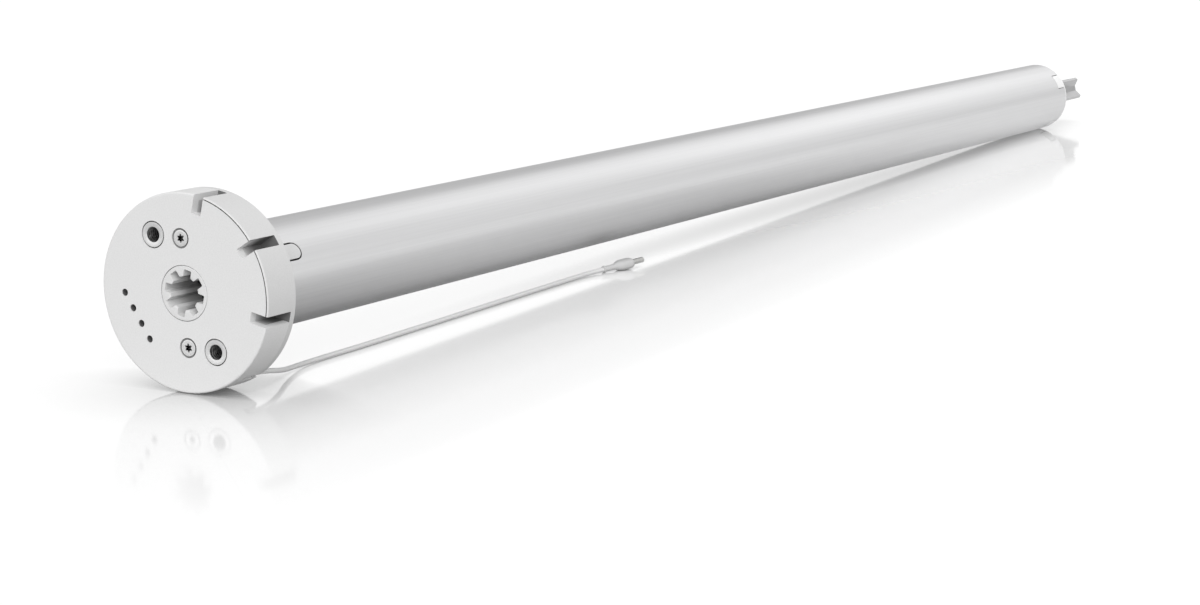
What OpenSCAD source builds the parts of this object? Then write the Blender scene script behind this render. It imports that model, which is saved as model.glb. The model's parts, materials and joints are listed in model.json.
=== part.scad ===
// Tubular roller blind motor: a round head, a long tube with a battery, a motor and a
// three stage planetary gearbox inside, and a drive shaft at the far end.
// Millimetres. The motor's axis runs along +X from the centre of the head's face.
// Pieces are drawn standing on their axis, with the cord slot towards +X, and laid() turns them.

/* [Head] */
// Diameter of the round head
head_d = 68; // [66:0.5:72]
// Thickness of the head, from its face to the tube
head_t = 15; // [14:0.5:18]
// Thickness of the cover's front plate
cover_t = 3; // [2.6:0.1:3.4]
// Thickness of the cover's skirt
skirt_t = 2.5; // [2:0.1:3]
// Rounding of the cover's front edge
edge_r = 1.4; // [0.8:0.1:2]
// Bevel on the body's rim, where it meets the face
rim_bevel = 0.4; // [0.3:0.05:0.6]
// Thickness of the lip that closes the notches at the back
lip_t = 2.2; // [1.6:0.1:3]
// Width of the three notches in the rim
notch_w = 3.8; // [3:0.1:5]
// Depth of the notches, inwards from the rim
notch_deep = 6.6; // [5:0.1:7]
// Depth of the moulded hollows behind the cover
pocket_deep = 6; // [4:0.5:7]
// Length of the collar that goes into the tube
collar_len = 30; // [28:1:40]
// Thickness of the collar's wall
collar_wall = 2.5; // [2:0.1:3]
// How far the head is turned on its axis as it lies, from +Y to the cord slot
head_roll = 237; // [0:1:359]

/* [Face fittings] */
// Diameter of the round piece that holds the star socket
socket_d = 19; // [18.5:0.1:20]
// Diameter of the star socket over its grooves
star_d = 16; // [15:0.1:16.5]
// Diameter of the star socket between its teeth
star_tip_d = 11.4; // [10.5:0.1:12]
// Width of one groove of the star socket
star_slot_w = 3; // [2.6:0.1:3.3]
// Diameter of the flange behind the star socket
socket_flange_d = 24; // [22:0.5:26]
// Thickness of the flange behind the star socket
socket_flange_t = 2.5; // [2:0.1:4]
// Distance between the two threaded inserts
insert_spacing = 45; // [44:0.5:46]
// Outside diameter of a threaded insert
insert_d = 9.2; // [8.5:0.1:9.6]
// Diameter of the hole in a threaded insert
insert_bore = 5; // [4.2:0.1:5.4]
// Length of a threaded insert
insert_len = 10; // [8:0.5:10.5]
// Diameter of the circle that the cover's screws stand on
screw_circle = 37; // [36:0.5:38]
// Angle from the insert line to the screws
screw_angle = 30; // [28:1:34]
// Diameter of a cover screw's head
screw_head_d = 5.8; // [5.2:0.1:6]
// Diameter of the round recess that a cover screw lies in
screw_recess_d = 6.9; // [6.6:0.1:7.4]
// Diameter of a cover screw's shank
screw_d = 3; // [2.5:0.1:3.2]
// Depth of the cover screw's head below the face
screw_sunk = 0.5; // [0.3:0.1:0.8]
// Diameter of the four small holes in the face
pilot_d = 2.5; // [2:0.1:3]
// Depth of the four small holes in the face
pilot_deep = 5; // [3.5:0.5:6]
// Distance from one small hole to the next
pilot_pitch = 6; // [5:0.1:6.2]
// Distance of the row of small holes from the axis
pilot_row = 21.7; // [21:0.1:23]

/* [Tube] */
// Outside diameter of the tube
tube_d = 38; // [37.5:0.1:39]
// Wall of the tube
tube_wall = 1.5; // [1.2:0.1:1.6]
// Length of the motor, from the head's face to the end ring
body_len = 790; // [785:1:860]
// Width of the head's tongue in the tube's slot
tongue_w = 5.6; // [5:0.1:7]
// Length of the tongue
tongue_len = 27; // [24:1:28]
// Gap around the tongue and the end tabs
slot_gap = 0.2; // [0.15:0.05:0.4]

/* [Output end] */
// Thickness of the end cap's ring that shows behind the tube
ring_t = 1.2; // [1:0.1:2]
// Width of the end cap's four tabs
tab_w = 8; // [6:0.5:9]
// Length of the tabs
tab_len = 9; // [6:0.5:12]
// Length of the end cap inside the tube
cap_len = 32.8; // [30:0.1:36]
// Wall of the end cap's sleeve
cap_wall = 1.8; // [1.5:0.1:2.2]
// Outside diameter of the end cap's nose
nose_d = 25; // [24:0.5:27]
// How far the nose stands out of the end ring
nose_len = 8; // [6:0.5:12]
// Diameter of the output shaft where it turns in its bush
journal_d = 14; // [13:0.1:15]
// Wall of the output bush
bush_wall = 2.4; // [2:0.1:3]
// How far the output shaft stands out of the end ring
shaft_out = 48; // [40:1:52]
// Width of the shaft's fluted end
drive_w = 19.6; // [18:0.1:20]
// Height of the shaft's fluted end
drive_h = 12.4; // [12:0.1:13]
// Width of a flute at its mouth
flute_mouth = 10.2; // [9:0.1:11]
// Width of a flute's flat bottom
flute_floor = 2.9; // [2:0.1:4]
// Depth of a flute
flute_deep = 2.8; // [2:0.1:3.5]
// Angle at which the fluted end stands
drive_turn = 290; // [0:1:359]

/* [Gearbox] */
// Outside diameter of the gearbox
gearbox_d = 34.4; // [34.2:0.1:34.6]
// Gear module, the pitch diameter of one tooth
gear_module = 0.6; // [0.58:0.01:0.61]
// Play cut from each flank of a tooth
flank_play = 0.04; // [0.03:0.01:0.06]
// Face width of the first stage
stage_1_w = 10; // [8:0.5:12]
// Face width of the second stage
stage_2_w = 14; // [12:0.5:16]
// Face width of the third stage
stage_3_w = 22; // [18:0.5:24]
// Thickness of the planet carriers
carrier_t = 4; // [3:0.1:5]
// Diameter of a planet carrier
carrier_d = 25; // [23:0.5:26]
// Diameter of a planet's pin
pin_d = 2.6; // [2:0.1:3]
// Axial gap between the gearbox's moving pieces
end_play = 0.4; // [0.3:0.05:0.6]
// Thickness of the plate between motor and gearbox
plate_t = 4; // [3:0.5:6]

/* [Motor] */
// Diameter of the motor's can
can_d = 32; // [31:0.1:32.4]
// Length of the motor's can
can_len = 70; // [66:1:76]
// Wall of the motor's can
can_wall = 1; // [0.8:0.1:1.2]
// Diameter of the motor's shaft
motor_shaft_d = 3.2; // [2.8:0.1:3.4]
// Diameter of the armature
armature_d = 26.4; // [25:0.1:26.6]
// Length of the armature's core
armature_len = 46; // [40:1:50]
// Thickness of a magnet
magnet_t = 1.4; // [1:0.1:1.5]
// Diameter of the commutator
commutator_d = 10; // [9:0.1:10.5]
// Length of the brush holder behind the can
bell_len = 16; // [16:0.5:18]
// Length of the brake
brake_len = 18; // [14:1:22]
// Diameter of the brake's rotor
brake_rotor_d = 23.6; // [20:0.1:24]

/* [Battery] */
// Diameter of a cell
cell_d = 26.2; // [26:0.1:26.6]
// Length of a cell
cell_len = 65.2; // [63:0.1:65.4]
// Diameter of a cell's raised pole
pole_d = 9; // [7:0.5:11]
// Width of the metal tabs that join the cells
link_w = 7; // [5:0.5:8]
// Shortest foam behind the cells, which sets how many cells fit
foam_least = 8; // [6:1:20]
// Wall of the battery holder
holder_wall = 1.2; // [1:0.1:1.5]
// Thickness of the battery holder's end discs
holder_end_t = 3; // [2:0.1:4]

/* [Electronics] */
// Length of the board's carrier behind the collar
bay_len = 170; // [150:1:175]
// Wall of the board's carrier
bay_wall = 1.5; // [1.2:0.1:2]
// Width of the circuit board
board_w = 32.4; // [31.8:0.1:32.6]
// Thickness of the circuit board
board_t = 1.6; // [1:0.1:2]
// Width of the radio module
radio_w = 16; // [14:0.5:20]
// Length of the radio module
radio_len = 24; // [20:0.5:30]
// Height of the radio module
radio_t = 2.4; // [2:0.1:3]

/* [Lead] */
// Diameter of the lead
cord_d = 1.8; // [1.6:0.1:2]
// Width of the slot that the lead leaves by
cord_slot_w = 3.4; // [3:0.1:4]
// Depth of that slot, inwards from the rim
cord_slot_deep = 4.6; // [4:0.1:5]
// Distance of the slot's closed end from the face
cord_slot_start = 6.5; // [5.5:0.1:6.7]
// Diameter of the plug's neck
neck_d = 2.5; // [2.3:0.1:2.8]
// Length of the plug's neck
neck_len = 6.5; // [5:0.5:9]
// Length of the plug's grip
plug_len = 9; // [8:0.5:13]
// Width of the plug's grip
plug_w = 6; // [5.4:0.1:8]
// Height of the plug's grip
plug_h = 4.4; // [3.8:0.1:4.8]
// Diameter of the plug's metal barrel
barrel_d = 2.4; // [2:0.1:2.6]
// Length of the plug's metal barrel
barrel_len = 6.5; // [5:0.5:9]
// Diameter of the bore in that barrel
barrel_bore = 1; // [0.7:0.1:1.2]

/* [Hidden] */
$fn = 64;

// Fits: pieces that sit in one another, round pieces that turn, and pressed pieces
fit = 0.1;
run = 0.05;
press = 0.02;

head_r = head_d / 2;
tube_r = tube_d / 2;
bore_r = tube_r - tube_wall;
collar_r = bore_r - fit;
inside_r = bore_r - 0.3;
skirt_in = head_r - skirt_t;
lip_z = head_t - lip_t;
notch_angles = [225, 270, 315];
sector = [225, 315];
insert_r = insert_spacing / 2;
screw_r = screw_circle / 2;
rib_w = 1.2;
boss_wall = 1.8;
lead_way_w = 2.6;
lead_way_angle = 20;
pocket_in = socket_d / 2 + boss_wall;
pocket_out = head_r - notch_deep - boss_wall;

tube_end = body_len - ring_t;
cap_in = tube_end - cap_len;
tab_angles = [0, 90, 180, 270];
clip_t = 1;
clip_play = 0.4;
bush_flange_t = 1.8;
bush_r = journal_d / 2 + run + bush_wall;
bush_z = cap_in + 0.2 + clip_t + clip_play;
drive_z = body_len + nose_len + 0.6;
spigot_r = journal_d / 2 - 2;

// Gear train: every stage has the same teeth, and 1 + ring / sun is the reduction of one stage
sun_teeth = 12;
planet_teeth = 18;
ring_teeth = sun_teeth + 2 * planet_teeth;
planets = 3;
pressure_angle = 25;
flank_steps = 4;
addendum = gear_module;
dedendum = 1.25 * gear_module;
centre_r = gear_module * (sun_teeth + planet_teeth) / 2;
stage_w = [stage_1_w, stage_2_w, stage_3_w];
ring_len = end_play + stage_1_w + stage_2_w + stage_3_w + 3 * carrier_t + 6 * end_play;
ring_z = cap_in - ring_len;
stage_z = [
    ring_z + end_play,
    ring_z + 3 * end_play + stage_1_w + carrier_t,
    ring_z + 5 * end_play + stage_1_w + stage_2_w + 2 * carrier_t
];
hub_r = gear_module * sun_teeth / 2 - dedendum - 0.3;

plate_z = ring_z - plate_t;
can_z = plate_z - can_len;
can_r = can_d / 2;
bell_z = can_z - bell_len;
brake_z = bell_z - brake_len;
sensor_deep = 6;
rear_z = brake_z - sensor_deep;
bearing_r = 4.5;
bearing_len = 4;
bearing_wall = 1.8;
shaft_r = motor_shaft_d / 2;
magnet_out = can_r - can_wall - press;
screw_gap = 8.5;
core_z = can_z + 6;
armature_teeth = 5;
tooth_w = 4;
core_hub_r = 5;
shoe_t = 1.8;
shoe_arc = 56;
winding_end = 4;
comm_z = bell_z + 8.5;
comm_len = 7;
brush_w = 3.6;
brush_len = 5;

carrier_nose = 12;
bay_z = head_t + collar_len + fit;
bay_end_t = 2;
bay_r = inside_r;
board_z = bay_z + bay_end_t + fit;
board_len = bay_len - 2 * bay_end_t - 2 * fit;
battery_z = bay_z + bay_len + fit;
link_t = 0.3;
cell_room = rear_z - battery_z - 2 * holder_end_t - link_t - foam_least;
cell_count = floor(cell_room / (cell_len + link_t));
cells_len = cell_count * cell_len + (cell_count + 1) * link_t;
battery_len = cells_len + 2 * holder_end_t;
cell_bore = cell_d / 2 + 0.15;
wire_hole_r = 3;
radio_at = 20;
rib_inset = 10;
clip_gap = 50;
magnet_arc = 120;

// The surface that the motor lies on touches the back of the head and the end of the tube
lie_slope = (head_r - tube_r) / (body_len - head_t);
function floor_z(x) = -head_r + (x - head_t) * lie_slope;
grommet_end = 9;
// Route of the lead: distance from the face, sideways, and height above that surface
cord_route = [
    [9, -17.9, 6.6], [15, -18, 6.4], [21, -17.9, 5.6], [28, -16.4, 4.2], [36, -13.4, 2.7],
    [45, -10.6, 1.7], [55, -8.9, 1.15], [68, -8.6, 1], [82, -9, 1], [98, -9.1, 1],
    [115, -8.9, 1], [130, -8.9, 1], [147, -8.8, 1], [163, -8.7, 1], [181, -8.6, 1],
    [199, -8.5, 1], [216, -8.5, 1], [230, -8.5, 1], [241, -8.6, 1.02], [249.5, -9.2, 1.15],
    [257, -10.9, 1.45]
];
plug_yaw = -20;
plug_pitch = 5.3;
plug_dir = [cos(plug_yaw) * cos(plug_pitch), sin(plug_yaw) * cos(plug_pitch), sin(plug_pitch)];
grip_notch = 0.6;
grip_corner = 1.2;
barrel_seat = 1.5;
barrel_tip = 0.3;
cord_ring_every = 5;
cord_sides = 8;

// Places a piece that is drawn standing on its axis: axis along +X, cord slot at head_roll
module laid() rotate([head_roll, 0, 0]) rotate([90, 0, 90]) children();

// A ring or a disc between two heights
module ring(r_in, r_out, z0, z1) {
    translate([0, 0, z0]) difference() {
        cylinder(h = z1 - z0, r = r_out);
        if (r_in > 0) translate([0, 0, -1]) cylinder(h = z1 - z0 + 2, r = r_in);
    }
}

// Part of a ring between two angles
module arc(r_in, r_out, z0, z1, from, to) {
    rotate([0, 0, from]) rotate_extrude(angle = to - from)
        translate([r_in, z0]) square([r_out - r_in, z1 - z0]);
}

// A bar with a round end, looking inwards at the tube: along the axis from z0 to z1
module u_bar(w, z0, z1, r_in, r_out) {
    translate([r_in, 0, 0]) rotate([90, 0, 90]) linear_extrude(r_out - r_in) {
        translate([-w / 2, z0]) square([w, z1 - z0 - w / 2]);
        translate([0, z1 - w / 2]) circle(d = w);
    }
}

module at_polar(r, a) rotate([0, 0, a]) translate([r, 0, 0]) children();

module both_ends(r, a) for (turn = [0, 180]) at_polar(r, a + turn) children();

module notches() {
    for (a = notch_angles) rotate([0, 0, a])
        translate([head_r - notch_deep, -notch_w / 2, -1]) cube([notch_deep + 2, notch_w, lip_z + 1]);
}

module cord_slot() {
    w = cord_slot_w;
    translate([head_r - cord_slot_deep, 0, 0]) rotate([90, 0, 90]) linear_extrude(cord_slot_deep + 2) {
        translate([-w / 2, cord_slot_start + w / 2]) square([w, head_t - cord_slot_start + 1]);
        translate([0, cord_slot_start + w / 2]) circle(d = w);
    }
}

module pilot_holes() {
    for (i = [-2:1]) translate([i * pilot_pitch, pilot_row, -1]) cylinder(h = pilot_deep + 1, d = pilot_d);
}

// Way for the lead from its slot round the insert into the hollows
module lead_way() {
    out = skirt_in - fit - rib_w;
    arc(out - lead_way_w, out, cord_slot_start, cord_slot_start + lead_way_w, 0, lead_way_angle);
    rotate([0, 0, lead_way_angle]) translate([pocket_out - 1, -lead_way_w / 2, cord_slot_start])
        cube([out - pocket_out, lead_way_w, lead_way_w]);
}

// Hollows of the moulding behind the cover, with ribs and bosses left standing
module head_pockets() {
    difference() {
        ring(pocket_in, pocket_out, cover_t - 1, cover_t + pocket_deep);
        for (a = [0:30:330]) rotate([0, 0, a + 15])
            translate([0, -rib_w / 2, 0]) cube([head_r, rib_w, head_t]);
        both_ends(insert_r, 0) cylinder(h = head_t, r = insert_d / 2 + boss_wall);
        both_ends(screw_r, screw_angle) cylinder(h = head_t, r = screw_d / 2 + boss_wall);
        for (i = [-2:1]) translate([i * pilot_pitch, pilot_row, 0])
            cylinder(h = head_t, r = pilot_d / 2 + boss_wall);
    }
}

module head_body() color("gainsboro") laid() {
    difference() {
        union() {
            ring(0, skirt_in - fit, cover_t, head_t);
            arc(skirt_in - fit - 1, head_r, lip_z, head_t, sector[1], sector[0] + 360);
            // The body itself is the rim of the notched quarter, up to the face
            rotate([0, 0, sector[0]]) rotate_extrude(angle = sector[1] - sector[0]) polygon([
                [skirt_in - fit - 1, cover_t], [head_r - rim_bevel - fit / 2, cover_t],
                [head_r - rim_bevel - fit / 2, 0], [head_r, rim_bevel], [head_r, head_t],
                [skirt_in - fit - 1, head_t]
            ]);
            ring(collar_r - collar_wall, collar_r, head_t, head_t + collar_len);
            intersection() {
                rotate([0, 0, 270]) u_bar(tongue_w, head_t - 1, head_t + tongue_len, collar_r - 1, tube_r);
                ring(collar_r - 1, tube_r, head_t - 1, head_t + collar_len);
            }
        }
        head_pockets();
        notches();
        cord_slot();
        pilot_holes();
        translate([0, 0, -1]) cylinder(h = head_t + 2, d = socket_d + 2 * fit);
        both_ends(insert_r, 0) cylinder(h = insert_len + fit, d = insert_d + 2 * press);
        both_ends(screw_r, screw_angle) cylinder(h = head_t - lip_t, d = screw_d + 2 * press);
        lead_way();
    }
}

module head_cover() color("whitesmoke") laid() {
    difference() {
        union() {
            ring(0, head_r - edge_r, 0, cover_t);
            arc(head_r - edge_r - 1, head_r - rim_bevel - fit, 0, cover_t, sector[0], sector[1]);
            // The rim goes three quarters round: the body closes the notched quarter
            rotate([0, 0, sector[1]]) rotate_extrude(angle = 360 - sector[1] + sector[0]) {
                difference() {
                    translate([skirt_in, 0]) square([skirt_t, lip_z - fit / 2]);
                    translate([head_r - edge_r, -1]) square([edge_r + 1, edge_r + 1]);
                }
                translate([head_r - edge_r, edge_r]) circle(r = edge_r);
            }
        }
        notches();
        cord_slot();
        pilot_holes();
        translate([0, 0, -1]) cylinder(h = cover_t + 2, d = socket_d + fit);
        both_ends(insert_r, 0) translate([0, 0, -1]) cylinder(h = cover_t + 2, d = insert_d + fit);
        both_ends(screw_r, screw_angle) {
            translate([0, 0, -1]) cylinder(h = cover_t + 2, d = screw_d + 2 * fit);
            translate([0, 0, -1]) cylinder(h = screw_sunk + 1, d = screw_recess_d);
            translate([0, 0, screw_sunk])
                cylinder(h = (screw_head_d - screw_d) / 2, d1 = screw_head_d + fit, d2 = screw_d + fit);
        }
    }
}

// Star socket: a round hole with eight straight grooves
module star_socket() color("white") laid() {
    difference() {
        union() {
            ring(0, socket_d / 2, 0, head_t);
            ring(0, socket_flange_d / 2, head_t, head_t + socket_flange_t);
        }
        translate([0, 0, -1]) linear_extrude(head_t + socket_flange_t + 2) {
            circle(d = star_tip_d);
            for (a = [0:45:135]) rotate(a) square([star_d, star_slot_w], center = true);
        }
    }
}

module threaded_inserts() color("silver") laid() both_ends(insert_r, 0)
    ring(insert_bore / 2, insert_d / 2, 0, insert_len);

module cover_screws() color("silver") laid() both_ends(screw_r, screw_angle) difference() {
    union() {
        translate([0, 0, screw_sunk])
            cylinder(h = (screw_head_d - screw_d) / 2, d1 = screw_head_d, d2 = screw_d);
        translate([0, 0, screw_sunk + 0.5]) cylinder(h = lip_z - screw_sunk - 1.5, d = screw_d);
    }
    translate([0, 0, screw_sunk - 1]) linear_extrude(2.2) {
        circle(r = 1);
        for (a = [0:60:300]) rotate(a) translate([0.95, 0]) circle(r = 0.38);
    }
}

module cord_grommet() color("dimgray") laid() {
    w = cord_slot_w - 2 * press;
    translate([head_r - cord_slot_deep, 0, 0]) rotate([90, 0, 90]) linear_extrude(cord_slot_deep - 0.6) {
        translate([-w / 2, cord_slot_start + w / 2 + press])
            square([w, grommet_end - cord_slot_start - w / 2 - press]);
        translate([0, cord_slot_start + w / 2 + press]) intersection() {
            circle(d = w);
            translate([-w, -w]) square([2 * w, w + 0.1]);
        }
    }
}

module motor_tube() color("silver") laid() {
    difference() {
        ring(bore_r, tube_r, head_t, tube_end);
        rotate([0, 0, 270])
            u_bar(tongue_w + 2 * slot_gap, head_t - 5, head_t + tongue_len + slot_gap,
                bore_r - 2, tube_r + 2);
        for (a = tab_angles) rotate([0, 0, a])
            translate([bore_r - 2, -tab_w / 2 - slot_gap, tube_end - tab_len - slot_gap])
            cube([tube_wall + 4, tab_w + 2 * slot_gap, tab_len + 2]);
    }
}

module end_cap() color("white") laid() {
    difference() {
        union() {
            ring(collar_r - cap_wall, collar_r, cap_in, tube_end);
            ring(bush_r, nose_d / 2, bush_z, body_len + nose_len);
            ring(bush_r, collar_r, tube_end - 4, tube_end);
            ring(bush_r, tube_r - fit, tube_end, body_len);
            for (a = [0:60:300]) rotate([0, 0, a])
                translate([bush_r + 1, -rib_w / 2, bush_z + bush_flange_t])
                    cube([collar_r - bush_r - 2, rib_w, tube_end - bush_z - bush_flange_t]);
            intersection() {
                ring(collar_r - 1, tube_r - fit, tube_end - tab_len, tube_end);
                for (a = tab_angles) rotate([0, 0, a]) translate([0, -tab_w / 2, 0])
                    cube([tube_r, tab_w, body_len]);
            }
        }
        ring(0, nose_d / 2 + 1, bush_z - 1, bush_z + bush_flange_t);
    }
}

module output_bush() color("goldenrod") laid() {
    ring(journal_d / 2 + run, bush_r - press, bush_z, body_len + nose_len);
    ring(journal_d / 2 + run, nose_d / 2 - 1, bush_z, bush_z + bush_flange_t - press);
}

// Flat ended outline with a V flute with a flat bottom in each narrow side
function flute_side(s) = [
    [s * drive_w / 2, -s * flute_mouth / 2], [s * (drive_w / 2 - flute_deep), -s * flute_floor / 2],
    [s * (drive_w / 2 - flute_deep), s * flute_floor / 2], [s * drive_w / 2, s * flute_mouth / 2],
    [s * (drive_w / 2 - (drive_h - flute_mouth) / 2), s * drive_h / 2]
];
function drive_outline() = concat(
    [[drive_w / 2 - (drive_h - flute_mouth) / 2, -drive_h / 2]], flute_side(1),
    [[-drive_w / 2 + (drive_h - flute_mouth) / 2, drive_h / 2]], flute_side(-1)
);

module output_shaft() color("darkgray") laid() rotate([0, 0, drive_turn]) {
    corner = norm([drive_w, drive_h]) / 2;
    top = body_len + shaft_out;
    difference() {
        union() {
            ring(0, journal_d / 2, cap_in - end_play + fit, drive_z);
            intersection() {
                ring(0, spigot_r, cap_in - end_play - carrier_t, cap_in);
                translate([-spigot_r, -spigot_r + 1, cap_in - carrier_t - end_play])
                    cube([2 * spigot_r, 2 * spigot_r - 2, carrier_t + end_play]);
            }
            intersection() {
                translate([0, 0, drive_z]) linear_extrude(top - drive_z) polygon(drive_outline());
                rotate_extrude() polygon([
                    [0, drive_z], [corner, drive_z], [corner, top - 1.5], [corner - 1.5, top], [0, top]
                ]);
            }
        }
        ring(journal_d / 2 - 0.8, journal_d, cap_in + 0.2, cap_in + 0.2 + clip_t);
    }
}

module shaft_clip() color("dimgray") laid() rotate([0, 0, drive_turn])
    arc(journal_d / 2 - 0.8 + press, journal_d / 2 + 1.6,
        cap_in + 0.2 + press, cap_in + 0.2 + clip_t - press, clip_gap / 2, 360 - clip_gap / 2);

module board_carrier() color("darkslategray") laid() {
    nose_r = collar_r - collar_wall - fit;
    difference() {
        union() {
            ring(nose_r - bay_wall, nose_r, bay_z - carrier_nose, bay_z);
            ring(0, bay_r, bay_z, bay_z + bay_end_t);
            ring(0, bay_r, bay_z + bay_len - bay_end_t, bay_z + bay_len);
            arc(bay_r - bay_wall, bay_r, bay_z, bay_z + bay_len, 180, 360);
            for (i = [1:4]) let (z = bay_z + i * bay_len / 5)
                arc(bay_r - 4, bay_r - bay_wall / 2, z, z + 1.5, 180 + rib_inset, 360 - rib_inset);
        }
        translate([0, 6, bay_z - 1]) cylinder(h = bay_len + 2, r = wire_hole_r);
    }
}

module circuit_board() color("darkgreen") laid() difference() {
    translate([-board_w / 2, 0, board_z]) cube([board_w, board_t, board_len]);
    for (z = [6, board_len - 6]) for (x = [-1, 1])
        translate([x * (board_w / 2 - 5), -1, board_z + z]) rotate([-90, 0, 0])
            cylinder(h = board_t + 2, d = 2.2);
}

// Blocks and cans on the board: sideways, along, width, length, height
board_blocks = [
    [-9, 16, 9, 7, 6], [5, 14, 7, 6, 4], [0, 60, 12, 12, 1.2],
    [9, 62, 5, 5, 1], [-9, 92, 8, 8, 5], [7, 112, 9, 11, 3]
];
board_cans = [[-7, 36, 8], [7, 36, 8], [6, 88, 6.3], [-6, 130, 8], [6, 134, 8]];

module board_parts() color("black") laid() {
    for (b = board_blocks)
        translate([b[0] - b[2] / 2, board_t, board_z + b[1] - b[3] / 2]) cube([b[2], b[4], b[3]]);
    for (c = board_cans)
        translate([c[0], board_t, board_z + c[1]]) rotate([-90, 0, 0]) cylinder(h = 9, d = c[2]);
}

module radio_module() color("lightgray") laid() {
    translate([-radio_w / 2, -radio_t, board_z + radio_at]) cube([radio_w, radio_t, radio_len]);
}

module battery_holder() color("gray") laid() translate([0, 0, battery_z + holder_end_t])
    linear_extrude(cells_len) difference() {
        union() {
            circle(r = cell_bore + holder_wall);
            for (a = [0:60:300]) rotate(a) translate([0, -rib_w / 2]) square([inside_r, rib_w]);
        }
        circle(r = cell_bore);
    }

module battery_ends() color("gray") laid() for (z = [battery_z, battery_z + holder_end_t + cells_len])
    difference() {
        ring(0, inside_r, z, z + holder_end_t);
        translate([0, cell_d / 2 + wire_hole_r / 2 + 0.6, z - 1])
            cylinder(h = holder_end_t + 2, r = wire_hole_r / 2);
    }

module battery_cells() color("steelblue") laid() for (i = [0:cell_count - 1])
    translate([0, 0, battery_z + holder_end_t + link_t + i * (cell_len + link_t)]) {
        cylinder(h = cell_len - 1.2, d = cell_d);
        cylinder(h = cell_len, d = pole_d);
    }

module battery_links() color("gold") laid() for (i = [0:cell_count])
    translate([-link_w / 2, -link_w / 2, battery_z + holder_end_t + i * (cell_len + link_t)])
        cube([link_w, link_w, link_t]);

module foam_buffer() color("dimgray") laid()
    ring(wire_hole_r, can_r, battery_z + battery_len + fit, rear_z - fit);

module motor_can() color("silver") laid() {
    front = can_z + can_len;
    difference() {
        union() {
            ring(can_r - can_wall, can_r, can_z, front);
            ring(bearing_r, can_r, front - 2, front);
            ring(bearing_r, bearing_r + bearing_wall, front - bearing_len - 1, front);
        }
        both_ends(screw_gap, 0) translate([0, 0, front - 3]) cylinder(h = 4, d = 2.5);
    }
}

module motor_magnets() color("dimgray") laid() for (a = [30, 210])
    arc(magnet_out - magnet_t, magnet_out, core_z - 2, core_z + armature_len + 2, a, a + magnet_arc);

module motor_bearings() color("goldenrod") laid() {
    ring(shaft_r + run, bearing_r - press, can_z + can_len - bearing_len - 1, can_z + can_len - 1);
    ring(shaft_r + run, bearing_r - press, bell_z + 3, bell_z + 3 + bearing_len);
}

module brush_holder() color("saddlebrown") laid() {
    difference() {
        union() {
            ring(can_r - 2.5, can_r, bell_z, can_z);
            ring(can_r - 2.5, can_r - can_wall - press, can_z - 1, can_z + 3);
            ring(bearing_r, can_r, bell_z, bell_z + 3);
            ring(bearing_r, bearing_r + bearing_wall, bell_z, bell_z + 3 + bearing_len);
            for (a = [0, 180]) rotate([0, 0, a])
                translate([commutator_d / 2 + 1, -brush_w / 2 - 1, bell_z + 2])
                    cube([can_r - commutator_d / 2 - 3, brush_w + 2, comm_len + 4]);
        }
        for (a = [0, 180]) rotate([0, 0, a]) translate([0, -brush_w / 2 - press, comm_z + 1 - press])
            cube([commutator_d / 2 + brush_len + 2, brush_w + 2 * press, brush_len + 2 * press]);
        ring(0, bearing_r, bell_z - 1, bell_z + 3 + bearing_len + 1);
        ring(0, commutator_d / 2 + 0.8, comm_z - 1, can_z);
    }
}

module brushes() color("black") laid() for (a = [0, 180]) rotate([0, 0, a])
    translate([commutator_d / 2 + fit, -brush_w / 2, comm_z + 1]) cube([brush_len, brush_w, brush_len]);

module motor_shaft() color("lightsteelblue") laid() ring(0, shaft_r, brake_z - 4, stage_z[0] + stage_1_w);

// Armature: slotted core on the shaft, with the coils in its slots and over its ends
module armature_outline() {
    circle(r = core_hub_r);
    for (i = [0:armature_teeth - 1]) rotate(i * 360 / armature_teeth) {
        translate([0, -tooth_w / 2]) square([armature_d / 2 - 0.8, tooth_w]);
        intersection() {
            difference() {
                circle(d = armature_d);
                circle(d = armature_d - 2 * shoe_t);
            }
            polygon(armature_d * [[0, 0], [1, -tan(shoe_arc / 2)], [1, tan(shoe_arc / 2)]]);
        }
    }
}

module armature_core() color("dimgray") laid() translate([0, 0, core_z]) linear_extrude(armature_len)
    difference() {
        armature_outline();
        circle(r = shaft_r + press);
    }

module armature_windings() color("peru") laid() {
    out = armature_d / 2 - shoe_t - 0.3;
    in = core_hub_r + 0.3;
    translate([0, 0, core_z - winding_end / 2]) linear_extrude(armature_len + winding_end) difference() {
        circle(r = out);
        circle(r = in);
        for (i = [0:armature_teeth - 1]) rotate(i * 360 / armature_teeth)
            translate([0, -tooth_w / 2 - 0.2]) square([armature_d, tooth_w + 0.4]);
    }
    ring(in, out, core_z - winding_end, core_z - 0.2);
    ring(in, out, core_z + armature_len + 0.2, core_z + armature_len + winding_end);
}

module commutator() color("chocolate") laid() difference() {
    ring(shaft_r + press, commutator_d / 2, comm_z, comm_z + comm_len);
    for (i = [0:2 * armature_teeth - 1]) rotate([0, 0, i * 180 / armature_teeth])
        translate([commutator_d / 2 - 0.8, -0.2, comm_z - 1]) cube([2, 0.4, comm_len + 2]);
}

// Holding brake: a toothed rotor on the shaft inside a toothed magnetic ring
module brake_stator() color("slategray") laid() difference() {
    ring(shaft_r + 1, can_r, rear_z, bell_z);
    ring(0, brake_rotor_d / 2 + 0.4, brake_z + 3, bell_z + 1);
    ring(0, can_r - 1.5, rear_z - 1, brake_z);
    for (i = [0:11]) rotate([0, 0, i * 30])
        translate([brake_rotor_d / 2, -1.2, brake_z + 3]) cube([2.4, 2.4, brake_len]);
}

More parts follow.
